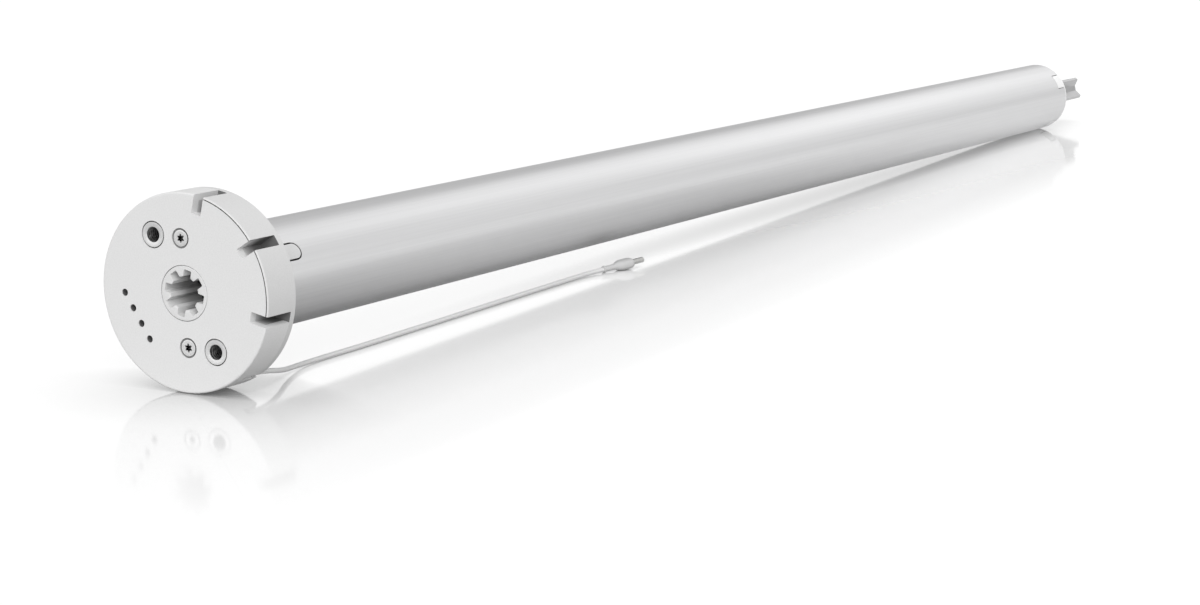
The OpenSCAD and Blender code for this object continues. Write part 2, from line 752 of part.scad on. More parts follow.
module brake_rotor() color("dimgray") laid() difference() {
    ring(shaft_r + press, brake_rotor_d / 2, brake_z + 4, bell_z - 2);
    for (i = [0:11]) rotate([0, 0, i * 30 + 15])
        translate([brake_rotor_d / 2 - 1.5, -1.2, brake_z]) cube([3, 2.4, brake_len]);
}

module sensor_board() color("darkgreen") laid() {
    ring(0, can_r - 1.5 - fit, rear_z, rear_z + 1.2);
    translate([-2, -2, rear_z + 1.2]) cube([4, 4, 0.6]);
}

module encoder_magnet() color("black") laid() ring(shaft_r + press, 5, brake_z - 3.4, brake_z - 0.4);

module damping_rings() color("black") laid() for (z = [can_z + 6, can_z + can_len - 12])
    ring(can_r + press, bore_r - fit, z, z + 6);

module gearbox_plate() color("darkgray") laid() difference() {
    ring(bearing_r + 1, gearbox_d / 2, plate_z, ring_z);
    both_ends(screw_gap, 0) {
        translate([0, 0, plate_z - 1]) cylinder(h = plate_t + 2, d = 2.7);
        translate([0, 0, ring_z - 1.8]) cylinder(h = 2, d = 4.6);
    }
}

module gearbox_screws() color("silver") laid() both_ends(screw_gap, 0) {
    translate([0, 0, plate_z - 1.8]) cylinder(h = plate_t + 0.2, d = 2.4);
    translate([0, 0, ring_z - 1.7]) cylinder(h = 1.5, d = 4.4);
}

// Involute gear outline. Angle that the flank has turned at radius r, from base radius rb
function involute_at(r, rb) = r <= rb ? 0 : tan(acos(rb / r)) * 180 / PI - acos(rb / r);
function half_tooth(r, teeth, play) = let (
    rp = gear_module * teeth / 2,
    rb = rp * cos(pressure_angle)
) 90 / teeth - play * 180 / PI / rp + involute_at(rp, rb) - involute_at(r, rb);
function tooth_radii(teeth, r_root, r_tip) = let (
    rb = gear_module * teeth / 2 * cos(pressure_angle),
    start = max(rb, r_root)
) concat(
    r_root < start ? [r_root] : [],
    [for (j = [0:flank_steps]) start + (r_tip - start) * j / flank_steps]
);
function polar(r, a) = [r * cos(a), r * sin(a)];
function gear_points(teeth, r_root, r_tip, play) = let (
    radii = tooth_radii(teeth, r_root, r_tip),
    halves = [for (r = radii) half_tooth(r, teeth, play)],
    last = len(radii) - 1
) [
    for (i = [0:teeth - 1]) let (mid = i * 360 / teeth) each concat(
        [for (j = [0:last]) polar(radii[j], mid - halves[j])],
        [for (j = [last:-1:0]) polar(radii[j], mid + halves[j])]
    )
];

module gear_outline(teeth) polygon(gear_points(
    teeth, gear_module * teeth / 2 - dedendum, gear_module * teeth / 2 + addendum, flank_play
));

module ring_gear() color("gray") laid() translate([0, 0, ring_z]) linear_extrude(ring_len) difference() {
    pitch_r = gear_module * ring_teeth / 2;
    circle(d = gearbox_d);
    polygon(gear_points(ring_teeth, pitch_r - addendum, pitch_r + dedendum, -flank_play));
}

// The first sun is pressed on the motor's shaft, the others in the carrier before them
module sun_gear(stage) color("silver") laid() {
    z = stage_z[stage];
    rotate([0, 0, 180 / sun_teeth]) difference() {
        translate([0, 0, z]) linear_extrude(stage_w[stage]) gear_outline(sun_teeth);
        if (stage == 0) translate([0, 0, z - 1]) cylinder(h = stage_w[stage] + 2, r = shaft_r + press);
    }
    if (stage > 0) ring(0, hub_r, z - end_play - carrier_t, z + 1);
}

// A carrier stands behind its planets, and its pins go through them towards the motor
module planet_carrier(stage) color("darkgray") laid() {
    z = stage_z[stage] + stage_w[stage] + end_play;
    difference() {
        ring(0, carrier_d / 2, z, z + carrier_t);
        if (stage < 2) ring(0, hub_r + press, z - 1, z + carrier_t + 1);
        if (stage == 2) rotate([0, 0, drive_turn]) intersection() {
            ring(0, spigot_r + press, z - 1, z + carrier_t + 1);
            translate([-spigot_r - 1, -spigot_r + 1 - press, z - 1])
                cube([2 * spigot_r + 2, 2 * spigot_r - 2 + 2 * press, carrier_t + 2]);
        }
    }
    for (i = [0:planets - 1]) at_polar(centre_r, i * 360 / planets)
        ring(0, pin_d / 2, z - end_play - stage_w[stage], z + 0.1);
}

module planet(stage, i) color("silver") laid() at_polar(centre_r, i * 360 / planets)
    translate([0, 0, stage_z[stage]]) linear_extrude(stage_w[stage]) difference() {
        gear_outline(planet_teeth);
        circle(r = pin_d / 2 + run);
    }

// The lead: rings of points swept along a smooth curve through the route
function on_floor(p) = [p[0], p[1], floor_z(p[0]) + p[2]];
function curve_point(a, b, c, d, t) = 0.5 * (
    2 * b + (c - a) * t + (2 * a - 5 * b + 4 * c - d) * t * t + (3 * b - a - 3 * c + d) * t * t * t
);
function span_steps(a, b) = max(1, round(norm(b - a) / cord_ring_every));
function cord_curve(p) = let (n = len(p) - 1) [
    for (i = [0:n - 1]) let (
        a = i == 0 ? 2 * p[0] - p[1] : p[i - 1],
        d = i == n - 1 ? 2 * p[n] - p[n - 1] : p[i + 2],
        steps = span_steps(p[i], p[i + 1])
    ) each [for (s = [0:steps - 1]) curve_point(a, p[i], p[i + 1], d, s / steps)],
    p[n]
];
function unit(v) = v / norm(v);
function heading(p, i) = i == 0 ? [1, 0, 0] : i == len(p) - 1 ? plug_dir : unit(p[i + 1] - p[i - 1]);
function ring_of(c, t, r) = let (side = unit(cross([0, 0, 1], t)), up = cross(t, side))
    [for (k = [0:cord_sides - 1]) let (a = k * 360 / cord_sides) c + r * (cos(a) * side + sin(a) * up)];

module supply_cord() color("lightgray") {
    path = cord_curve([for (p = cord_route) on_floor(p)]);
    n = len(path) - 1;
    s = cord_sides;
    points = [for (i = [0:n]) each ring_of(path[i], heading(path, i), cord_d / 2)];
    sides = [for (i = [0:n - 1]) for (k = [0:s - 1]) let (a = i * s + k, b = i * s + (k + 1) % s)
        each [[a, a + s, b], [b, a + s, b + s]]];
    ends = [[for (k = [0:s - 1]) k], [for (k = [0:s - 1]) n * s + s - 1 - k]];
    polyhedron(points, concat(ends, sides), convexity = 4);
}

// Places a piece that is drawn along +X from the end of the lead
module on_lead(ahead = 0)
    translate(on_floor(cord_route[len(cord_route) - 1])) rotate([0, -plug_pitch, plug_yaw])
        translate([ahead, 0, 0]) children();

// Plan of the grip: round towards the neck, with a flat end that the barrel stands in
module grip_outline() hull() {
    translate([plug_w / 2 - 0.8, 0]) circle(r = plug_w / 2 - 0.8);
    translate([plug_len / 2, 0]) circle(d = plug_w);
    for (y = [-1, 1]) translate([plug_len - grip_corner, y * (plug_w / 2 - 0.5 - grip_corner)])
        circle(r = grip_corner);
}

module plug_body() color("lightgray") on_lead() {
    rotate([0, 90, 0]) cylinder(h = neck_len + 1, d = neck_d);
    rotate([0, 90, 0]) cylinder(h = 1, d = neck_d + 0.4);
    translate([neck_len, 0, 0]) difference() {
        intersection() {
            linear_extrude(plug_h, center = true) grip_outline();
            rotate([0, 90, 0]) hull() for (y = [-1, 1]) translate([0, y * (plug_w - plug_h) / 2, -1])
                cylinder(h = plug_len + 2, d = plug_h, $fn = 32);
        }
        translate([1, -plug_w, plug_h / 2 - grip_notch]) cube([grip_notch, 2 * plug_w, 1]);
        translate([plug_len - barrel_seat, 0, 0]) rotate([0, 90, 0])
            cylinder(h = barrel_seat + 1, d = barrel_d + 2 * press);
    }
}

module plug_nose() color("silver") on_lead(neck_len + plug_len - barrel_seat + press)
    rotate([0, 90, 0]) difference() {
        straight = barrel_seat + barrel_len - barrel_tip;
        union() {
            cylinder(h = straight, d = barrel_d);
            translate([0, 0, straight])
                cylinder(h = barrel_tip, d1 = barrel_d, d2 = barrel_d - 2 * barrel_tip);
        }
        translate([0, 0, barrel_seat]) cylinder(h = barrel_len, d = barrel_bore);
    }

head_body();
head_cover();
star_socket();
threaded_inserts();
cover_screws();
cord_grommet();
motor_tube();
end_cap();
output_bush();
output_shaft();
shaft_clip();
board_carrier();
circuit_board();
board_parts();
radio_module();
battery_holder();
battery_ends();
battery_cells();
battery_links();
foam_buffer();
motor_can();
motor_magnets();
motor_bearings();
brush_holder();
brushes();
motor_shaft();
armature_core();
armature_windings();
commutator();
brake_stator();
brake_rotor();
sensor_board();
encoder_magnet();
damping_rings();
gearbox_plate();
gearbox_screws();
ring_gear();
sun_gear(0);  // sun_gear_1
sun_gear(1);  // sun_gear_2
sun_gear(2);  // sun_gear_3
planet_carrier(0);  // planet_carrier_1
planet_carrier(1);  // planet_carrier_2
planet_carrier(2);  // planet_carrier_3
planet(0, 0);  // planet_1_a
planet(0, 1);  // planet_1_b
planet(0, 2);  // planet_1_c
planet(1, 0);  // planet_2_a
planet(1, 1);  // planet_2_b
planet(1, 2);  // planet_2_c
planet(2, 0);  // planet_3_a
planet(2, 1);  // planet_3_b
planet(2, 2);  // planet_3_c
supply_cord();
plug_body();
plug_nose();
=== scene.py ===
# %% [markdown]
# # A tubular motor for a roller blind
#
# This lesson dresses a CAD model of a tubular motor for a studio picture. The CAD part comes in
# ready made, with its gears, battery and housing in their real places. What is left is what a
# product photographer sees: edges that catch light, drawn metal, moulded plastic, a soft lead
# and a white glossy table. Everything is in metres, in the CAD part's own frame: X runs along
# the tube from the middle of the head's face, and Z is up.

# %% Load the frame
import json
import math

import bmesh
import bpy
import numpy as np
from mathutils import Matrix, Vector


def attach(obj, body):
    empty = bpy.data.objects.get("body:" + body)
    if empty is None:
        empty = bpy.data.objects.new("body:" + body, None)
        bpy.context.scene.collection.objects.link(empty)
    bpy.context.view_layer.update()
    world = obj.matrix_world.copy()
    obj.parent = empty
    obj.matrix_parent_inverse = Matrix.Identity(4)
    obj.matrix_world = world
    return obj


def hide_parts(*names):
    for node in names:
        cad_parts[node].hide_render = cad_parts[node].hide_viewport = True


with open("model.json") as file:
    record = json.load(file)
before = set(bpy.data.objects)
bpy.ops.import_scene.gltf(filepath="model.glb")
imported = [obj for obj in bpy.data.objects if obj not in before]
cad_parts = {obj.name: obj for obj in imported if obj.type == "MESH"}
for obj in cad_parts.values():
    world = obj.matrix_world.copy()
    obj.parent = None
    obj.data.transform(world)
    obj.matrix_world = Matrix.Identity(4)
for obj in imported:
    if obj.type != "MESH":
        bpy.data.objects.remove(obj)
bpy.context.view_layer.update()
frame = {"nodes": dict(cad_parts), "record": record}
MM = 0.001
print("CAD nodes:", len(frame["nodes"]))

# %% [markdown]
# ## Camera
#
# The picture's point of view was worked out from the round rims of the head and of the tube's
# end. A camera could also be aimed by eye with a Track To constraint, but three measured
# directions, its right, its up and its back, put it in place with nothing to tune. The picture
# was taken with the object off the lens's middle, as a crop of a wider view would be, so the
# camera has a sideways shift. The whole of that shift would push the motor out of the other
# views, so a part of it is done by turning the camera, which alters the head's outline a little.

# %% Camera
lens_mm, sideways = 80.3103, -0.25
camera_place = (-0.70715122, -0.57147615, 0.15624142)
camera_right = (0.40537269, -0.91399404, 0.01696684)
camera_up = (0.15242282, 0.08587935, 0.98457708)
camera_back = (-0.90135468, -0.39653453, 0.17412669)
camera = bpy.data.objects.new("camera", bpy.data.cameras.new("camera"))
bpy.context.scene.collection.objects.link(camera)
camera.data.sensor_width = 36
camera.data.lens = lens_mm
camera.data.shift_x = sideways
camera.data.clip_start, camera.data.clip_end = 0.01, 50
camera.matrix_world = Matrix.Translation(camera_place) @ Matrix(
    (camera_right, camera_up, camera_back)
).transposed().to_4x4()
bpy.context.scene.camera = camera
bpy.context.scene.view_settings.view_transform = "Standard"
print("camera lens", camera.data.lens, "mm")

# %% [markdown]
# ## Surfaces from grids
#
# Most new pieces here are one sheet of points on a grid, such as angle by length, and every
# cell of four neighbours becomes a face. numpy works out all the points at once, which is quick
# and keeps each shape to one short formula. Adding a primitive and pushing its points about
# would work too, but the formula is easier to read and to change.

# %% Grid helper
same_place, no_length = 1e-6, 1e-7


def surface(name, p, wrap_u=False, wrap_v=False, keep=None):
    """Mesh of the grid p[u, v]: cell (u, v) is the face between lines u, u + 1 and v, v + 1.
    wrap joins a last line to the first, and keep leaves cells out. Doubled points are merged
    and the faces are turned outwards."""
    nu, nv = p.shape[:2]
    u, v = np.meshgrid(
        np.arange(nu if wrap_u else nu - 1), np.arange(nv if wrap_v else nv - 1), indexing="ij"
    )
    u1, v1 = (u + 1) % nu, (v + 1) % nv
    quads = np.stack([u * nv + v, u1 * nv + v, u1 * nv + v1, u * nv + v1], -1).reshape(-1, 4)
    if keep is not None:
        quads = quads[keep.ravel()]
    mesh = bpy.data.meshes.new(name)
    mesh.vertices.add(nu * nv)
    mesh.vertices.foreach_set("co", p.astype(np.float32).ravel())
    mesh.loops.add(quads.size)
    mesh.loops.foreach_set("vertex_index", quads.astype(np.int32).ravel())
    mesh.polygons.add(len(quads))
    mesh.polygons.foreach_set("loop_start", np.arange(0, quads.size, 4, dtype=np.int32))
    mesh.update(calc_edges=True)
    bm = bmesh.new()
    bm.from_mesh(mesh)
    bmesh.ops.delete(bm, geom=[q for q in bm.verts if not q.link_faces], context="VERTS")
    bmesh.ops.remove_doubles(bm, verts=bm.verts, dist=same_place)
    bmesh.ops.dissolve_degenerate(bm, edges=bm.edges, dist=no_length)
    bmesh.ops.recalc_face_normals(bm, faces=bm.faces)
    bm.to_mesh(mesh)
    bm.free()
    piece = bpy.data.objects.new(name, mesh)
    bpy.context.scene.collection.objects.link(piece)
    return piece


def shade(piece, sharp=35):
    """Smooth shading, with a crease wherever two faces meet at more than sharp degrees."""
    bm = bmesh.new()
    bm.from_mesh(piece.data)
    for edge in bm.edges:
        edge.smooth = len(edge.link_faces) == 2 and edge.calc_face_angle(0) < math.radians(sharp)
    for face in bm.faces:
        face.smooth = True
    bm.to_mesh(piece.data)
    bm.free()
    return piece


def bevel(piece, width, segments=2, sharp=35):
    """Rounds every edge sharper than sharp degrees, and keeps the flats flat in the shading."""
    m = piece.modifiers.new("edges", "BEVEL")
    m.width, m.segments, m.limit_method = width * MM, segments, "ANGLE"
    m.angle_limit = math.radians(sharp)
    m.use_clamp_overlap = True
    piece.modifiers.new("flats", "WEIGHTED_NORMAL").keep_sharp = True
    return piece


# %% [markdown]
# ## The motor's own measures
#
# The head is turned on its axis, so its angles are counted from the slot that the lead leaves
# by. One helper turns (distance along the axis, radius, that angle) into a point.

# %% Places round the axis
head_roll = 237
head_r, head_t = 34, 15
tube_r, tube_wall, tube_end, body_len = 19, 1.5, 788.8, 790


def around(x, r, angle):
    """Points in metres at distance x along the axis, radius r and angle in degrees, all in
    millimetres: Y is r cos(angle + roll) and Z is r sin(angle + roll)."""
    x, r, a = np.broadcast_arrays(x, r, np.radians(np.asarray(angle, float) + head_roll))
    return np.stack([x, r * np.cos(a), r * np.sin(a)], -1) * MM


def flat_spot(x, across, up, angle, centre_r):
    """Points in metres of a small feature on the head's face: its middle stands at centre_r and
    angle, and across and up are measured from there, outwards and round, in millimetres."""
    a = math.radians(angle + head_roll)
    out, side = np.array([math.cos(a), math.sin(a)]), np.array([-math.sin(a), math.cos(a)])
    x, across, up = np.broadcast_arrays(x, across, up)
    yz = (centre_r + across)[..., None] * out + up[..., None] * side
    return np.concatenate([x[..., None], yz], -1) * MM


lie_slope = (head_r - tube_r) / (body_len - head_t)


def floor_z(x):
    """Height of the table under the motor at distance x: it touches the back of the head and
    the end of the tube."""
    return -head_r + (x - head_t) * lie_slope


print("the motor lies", round(math.degrees(math.atan(lie_slope)), 2), "degrees nose down")

# %% [markdown]
# ## The lead
#
# The lead is thin, light grey and soft. It leaves a slot low at the back of the head, comes
# down to the table and lies almost straight beside the tube. A curve object with a bevel would
# draw it, but a round ring carried along the route is a mesh from the start, and its length can
# be measured on the very line that it follows. The points are the same as in the CAD part.

# %% Lead route
cord_route = np.array([
    [9, -17.9, 6.6], [15, -18, 6.4], [21, -17.9, 5.6], [28, -16.4, 4.2], [36, -13.4, 2.7],
    [45, -10.6, 1.7], [55, -8.9, 1.15], [68, -8.6, 1], [82, -9, 1], [98, -9.1, 1],
    [115, -8.9, 1], [130, -8.9, 1], [147, -8.8, 1], [163, -8.7, 1], [181, -8.6, 1],
    [199, -8.5, 1], [216, -8.5, 1], [230, -8.5, 1], [241, -8.6, 1.02], [249.5, -9.2, 1.15],
    [257, -10.9, 1.45],
])
cord_d, cord_step, cord_sides = 1.8, 1.5, 20
route = cord_route.copy()
route[:, 2] += floor_z(route[:, 0])


def smooth_line(p, every):
    """A curve through the points p: between two of them each coordinate is the cubic whose slope
    at a point is half the step between its neighbours. every is the spacing of the result."""
    ends = np.vstack([2 * p[0] - p[1], p, 2 * p[-1] - p[-2]])
    a, b, c, d = ends[:-3], ends[1:-2], ends[2:-1], ends[3:]
    parts = []
    for i in range(len(b)):
        steps = max(1, round(np.linalg.norm(c[i] - b[i]) / every))
        t = np.arange(steps)[:, None] / steps
        slope = c[i] - a[i]
        square = 2 * a[i] - 5 * b[i] + 4 * c[i] - d[i]
        cube = 3 * b[i] - a[i] - 3 * c[i] + d[i]
        parts.append(0.5 * (2 * b[i] + slope * t + square * t**2 + cube * t**3))
    return np.vstack([*parts, p[-1:]])


def sweep(name, line, radius, sides):
    """A round tube along line: ring i stands square to the line's direction at point i, and point
    k of the ring is radius (cos 2 pi k / sides, sin 2 pi k / sides) on its two side directions.
    The ends are closed by rings of radius 0."""
    heading = np.gradient(line, axis=0)
    heading /= np.linalg.norm(heading, axis=1, keepdims=True)
    side = np.cross([0, 0, 1], heading)
    side /= np.linalg.norm(side, axis=1, keepdims=True)
    up = np.cross(heading, side)
    a = np.linspace(0, 2 * np.pi, sides, endpoint=False)
    ring = np.cos(a)[None, :, None] * side[:, None] + np.sin(a)[None, :, None] * up[:, None]
    p = line[:, None] + radius * ring
    tips = [np.repeat(line[i][None, None], sides, axis=1) for i in (0, -1)]
    return surface(name, np.concatenate([tips[0], p, tips[1]]) * MM, wrap_v=True)


cord_line = smooth_line(route, cord_step)
lead = shade(sweep("lead_jacket", cord_line, cord_d / 2, cord_sides), 60)

# %% [markdown]
# ## The plug on the lead
#
# A small soft moulding with a slim neck, a rounded grip and a thin metal barrel, as on the
# charging lead of a small appliance. It tips up a little, because the grip's belly rests on the
# table. Each part is a rounded outline carried along the plug's axis. The outline is a
# superellipse: with a power of 2 it is an ellipse, and a higher power squares it off, so one
# formula draws the round neck, the fuller grip and the barrel.

# %% Plug
plug_start = route[-1]
neck_d, neck_len, grip_len, grip_w, grip_h = 2.5, 6.5, 9, 6, 4.4
barrel_d, barrel_len, barrel_bore = 2.4, 6.5, 1
yaw, pitch = math.radians(-20), math.radians(5.3)
round_power, extra_power = 2, 0.5
plug_axes = np.array([
    [math.cos(yaw) * math.cos(pitch), math.sin(yaw) * math.cos(pitch), math.sin(pitch)],
    [-math.sin(yaw), math.cos(yaw), 0],
    [-math.cos(yaw) * math.sin(pitch), -math.sin(yaw) * math.sin(pitch), math.cos(pitch)],
])


def loft(name, stations, sides=64):
    """A closed form along the plug's axis. Each station is (distance, half width, half height,
    power), and its outline is (half width sgn(cos a) |cos a|^(2 / power), the same with sin and
    half height)."""
    s = np.array(stations, float)
    a = np.linspace(0, 2 * np.pi, sides, endpoint=False)
    e = 2 / s[:, 3:4]
    y = s[:, 1:2] * np.sign(np.cos(a)) * np.abs(np.cos(a)) ** e
    z = s[:, 2:3] * np.sign(np.sin(a)) * np.abs(np.sin(a)) ** e
    x = np.broadcast_to(s[:, 0:1], y.shape)
    p = plug_start + np.stack([x, y, z], -1) @ plug_axes
    return surface(name, p * MM, wrap_v=True)


def swell(t):
    """How full the grip is at share t of its length. It swells by a quarter sine over the first
    0.45, and tapers by one over 0.3 that would end 0.12 past the tip, so the tip stays blunt.
    The power of 0.9 fills both a little."""
    return np.sin(np.pi / 2 * np.clip(np.minimum(t / 0.45 + 0.04, (1.12 - t) / 0.3), 0, 1)) ** 0.9


grip_end = neck_len + grip_len
t = np.linspace(0, 1, 28)
grip_stations = [
    (neck_len + grip_len * s, neck_d / 2 + (grip_w - neck_d) / 2 * f,
     neck_d / 2 + (grip_h - neck_d) / 2 * f, round_power + extra_power * f)
    for s, f in zip(t, swell(t))
]
tip_w, tip_h = grip_stations[-1][1:3]
tip_power = round_power + extra_power
collar = [(0, 0), (0, 1.25), (0.15, 1.45), (0.85, 1.45), (1, 1.25), (1.15, 1.16), (1.4, 1.18)]
neck = collar + [(neck_len - 0.8, neck_d / 2)]
plug = shade(loft("plug_moulding", [
    *[(x, r, r, round_power) for x, r in neck], *grip_stations,
    (grip_end + 0.02, tip_w - 0.15, tip_h - 0.15, tip_power), (grip_end + 0.02, 0, 0, tip_power),
]), 50)
barrel_end = grip_end + barrel_len
wall_r, bore_r = barrel_d / 2, barrel_bore / 2
barrel = [
    (grip_end - 0.5, 0), (grip_end - 0.5, wall_r), (barrel_end - 0.35, wall_r),
    (barrel_end - 0.1, wall_r - 0.1), (barrel_end, wall_r - 0.3), (barrel_end, bore_r + 0.15),
    (barrel_end - 0.1, bore_r), (grip_end + 1, bore_r), (grip_end + 1, 0),
]
nose = shade(loft("plug_barrel", [(x, r, r, round_power) for x, r in barrel]), 40)
for piece in (lead, plug, nose):
    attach(piece, "housing")
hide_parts("supply_cord")
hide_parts("plug_body")
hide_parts("plug_nose")
print("plug ends at", np.round(np.array(plug_start) + barrel_end * plug_axes[0], 1))

# %% [markdown]
# ## Copies of CAD solids with rounded edges
#
# The head is two light grey mouldings, a notched body and a flat cover. A CAD solid has edges as
# sharp as a knife, and no real moulding or casting has. The node itself stays as it is, so a copy
# of its mesh gets its loose triangles merged, its flats joined up and a narrow bevel. Modelling
# these housings again by hand would only risk a mismatch.

# %% Rounded copies
same_corner, flat_within = 2e-6, 0.6


def rounded_copy(node, name, width, reshape=None):
    """A copy of a CAD node: doubled points merged, flat triangles rejoined, edges bevelled.
    reshape may move the copy's points first."""
    mesh = frame["nodes"][node].data.copy()
    bm = bmesh.new()
    bm.from_mesh(mesh)
    bmesh.ops.remove_doubles(bm, verts=bm.verts, dist=same_corner)
    bmesh.ops.dissolve_limit(
        bm, angle_limit=math.radians(flat_within), verts=bm.verts, edges=bm.edges
    )
    bmesh.ops.recalc_face_normals(bm, faces=bm.faces)
    bm.to_mesh(mesh)
    bm.free()
    if reshape:
        p = np.empty(len(mesh.vertices) * 3, np.float32)
        mesh.vertices.foreach_get("co", p)
        mesh.vertices.foreach_set("co", reshape(p.reshape(-1, 3)).astype(np.float32).ravel())
    mesh.materials.clear()
    piece = bpy.data.objects.new(name, mesh)
    bpy.context.scene.collection.objects.link(piece)
    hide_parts(node)
    shade(piece)
    return bevel(piece, width)


head_shell = rounded_copy("head_body", "head_shell", 0.12)
print("faces of the head's body, before its bevel:", len(head_shell.data.polygons))

# %% [markdown]
# ### The cover and its seam
#
# The cover's rim is crisper than the CAD solid's, and in the notched quarter a thin dark seam
# runs between it and the body. Both are small moves of the copy's points, worked out from their
# place. An Edge Split or a Boolean groove would draw the seam too, but would add faces along a
# rim that catches the light.

# %% Cover
rim_r, rim_x, rim_share = 32.59, 1.41, 0.5
seam_from, seam_to, seam_in, skirt_x = 224.9, 315.1, 0.3, 3.15
wall_from, wall_to, seam_r, seam_x = 33.2, 33.6, 33, 0.1


def in_notches(p):
    """Which of the points lie in the notched quarter of the head, by their angle from the slot
    of the lead."""
    angle = np.degrees(np.arctan2(p[:, 2], p[:, 1]) - math.radians(head_roll)) % 360
    return (angle > seam_from) & (angle < seam_to)


def crisp_edge(p):
    """The face's points with a tighter rim. Distance along the axis x and radius r are scaled by
    rim_share towards the outer corner where r is over rim_r and x under rim_x, so the rim's
    rounding halves. In the notched quarter the edge draws in by seam_in and leaves a seam."""
    p = p / MM
    x, r = p[:, 0], np.hypot(p[:, 1], p[:, 2])
    seam = in_notches(p) & (r > wall_from) & (r < wall_to) & (x < skirt_x)
    edge = ~seam & (r > rim_r) & (x < rim_x)
    new_r = np.where(seam, r - seam_in, np.where(edge, head_r - (head_r - r) * rim_share, r))
    new_x = np.where(edge, x * rim_share, x)
    scale = new_r / np.maximum(r, 1e-9)
    return np.stack([new_x, p[:, 1] * scale, p[:, 2] * scale], 1) * MM


def seam_walls(piece):
    """Give the face's side wall in the seam the second material: faces whose middle lies in the
    notched quarter, further than seam_r from the axis, deeper than seam_x and less deep than the
    cover's skirt."""
    middle = np.empty(len(piece.data.polygons) * 3, np.float32)
    piece.data.polygons.foreach_get("center", middle)
    middle = middle.reshape(-1, 3) / MM
    x, r = middle[:, 0], np.hypot(middle[:, 1], middle[:, 2])
    wall = in_notches(middle) & (r > seam_r) & (x > seam_x) & (x < skirt_x)
    piece.data.polygons.foreach_set("material_index", wall.astype(np.int32))
    return int(wall.sum())


head_face = rounded_copy("head_cover", "head_face", 0.1, reshape=crisp_edge)
print("faces in the seam:", seam_walls(head_face))

# %% [markdown]
# ### The far end
#
# A white cap closes the tube's far end, and the fluted metal shaft turns in a bush in its middle.
# They are copied in the same way. The shaft is the one piece in sight that turns, so it rides on
# the output body.

# %% Far end
end_moulding = rounded_copy("end_cap", "end_moulding", 0.12)
drive_shaft = rounded_copy("output_shaft", "drive_shaft", 0.2)
shaft_bush = rounded_copy("output_bush", "shaft_bush", 0.15)
print("rounded copies:", head_shell.name, head_face.name, end_moulding.name, drive_shaft.name)
for piece in (head_shell, head_face, end_moulding, shaft_bush):
    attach(piece, "housing")
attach(drive_shaft, "output")

# %% [markdown]
# ## The tube
#
# A drawn aluminium tube. It is one sheet of points on a grid of length by angle, with cells
# left out for the slot of the head's tongue and for the end cap's four tabs. The tongue's slot
# ends in a half round, so the grid's first line bends round it there. Solidify gives the wall.
# A Boolean cut would leave long thin triangles in a surface that shows every ripple.

# %% Tube
tongue_half, tongue_end, tongue_at = 3.38, 42.58, 270
tab_half, tab_start = 4.4, 779.3
tab_angles = np.array([0, 90, 180, 270])
line_step, least_step, bend_end = 2.5, 0.4, 60


def off(a, b):
    """Degrees from angle b to angle a, from -180 to 180."""
    return (a - b + 180) % 360 - 180


tongue_reach = math.degrees(math.asin(tongue_half / tube_r))
tab_reach = math.degrees(math.asin(tab_half / tube_r))
slot_sides = [tongue_at - tongue_reach, tongue_at + tongue_reach]
slot_sides += [a + s * tab_reach for a in tab_angles for s in (-1, 1)]
slot_sides = np.mod(slot_sides, 360)
in_arch = tongue_at + tongue_reach * np.linspace(-1, 1, 17)
angles = np.concatenate([np.arange(0, 360, line_step), in_arch, slot_sides])
angles = np.unique(np.round(angles, 6))
angles = angles[np.append(np.diff(angles) > least_step, True)]
for side in slot_sides:
    angles[np.argmin(np.abs(angles - side))] = side
angles = np.sort(angles)
print("lines along the tube:", len(angles))

# %% [markdown]
# The slot's round end is a half circle laid on the tube: a line that runs at distance w beside
# the slot's middle starts further along by the root of (half width squared less w squared). The
# rings before it stand in the slot, where the faces are left out. Then come the rings of the
# plain tube and those between the tabs.

# %% Tube skin
across = tube_r * np.sin(np.radians(off(angles, tongue_at)))
near_tongue = np.abs(off(angles, tongue_at)) < tongue_reach + 0.01
bend = np.where(near_tongue, np.sqrt(np.clip(tongue_half**2 - across**2, 0, None)), 0)
round_from = tongue_end - tongue_half
x_slot = np.linspace(head_t, round_from, 6)[:-1, None] + 0 * angles
x_bend = round_from + bend + np.linspace(0, 1, 9)[:, None] ** 1.5 * (bend_end - round_from - bend)
x_plain = np.linspace(bend_end, tab_start, 90)[1:]
x_tabs = np.linspace(tab_start, tube_end, 4)[1:]
x_all = np.vstack([x_slot, x_bend, np.append(x_plain, x_tabs)[:, None] + 0 * angles])
tube_points = around(x_all, tube_r, angles[None, :] + 0 * x_all)
middle = (angles + np.append(angles[1:], angles[0] + 360)) / 2
x_middle = (x_all[1:] + x_all[:-1]) / 2
in_tongue = np.abs(off(middle, tongue_at)) < tongue_reach
in_tongue = in_tongue[None, :] & (np.arange(len(x_middle)) < len(x_slot))[:, None]
in_tab = np.min([np.abs(off(middle, a)) for a in tab_angles], 0) < tab_reach
in_tab = in_tab[None, :] & (x_middle > tab_start)
tube_skin = surface("tube_skin", tube_points, wrap_v=True, keep=~(in_tongue | in_tab))
wall = tube_skin.modifiers.new("wall", "SOLIDIFY")
wall.thickness, wall.offset = tube_wall * MM, -1
shade(tube_skin, 40)
bevel(tube_skin, 0.12, 2, 40)
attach(tube_skin, "housing")
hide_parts("motor_tube")
print("tube skin has", len(tube_skin.data.polygons), "faces")

# %% [markdown]
# ## The star socket
#
# The bracket's stub goes into this hole. Its outline is a circle with eight square grooves, and
# the piece is that outline joined to a round rim: from rim to hole, each line of the grid is a
# mix of the two. The corners are rounded by averaging the radius over a few angles on either
# side. An extruded curve would give the hole too, but not its mouth and lip.

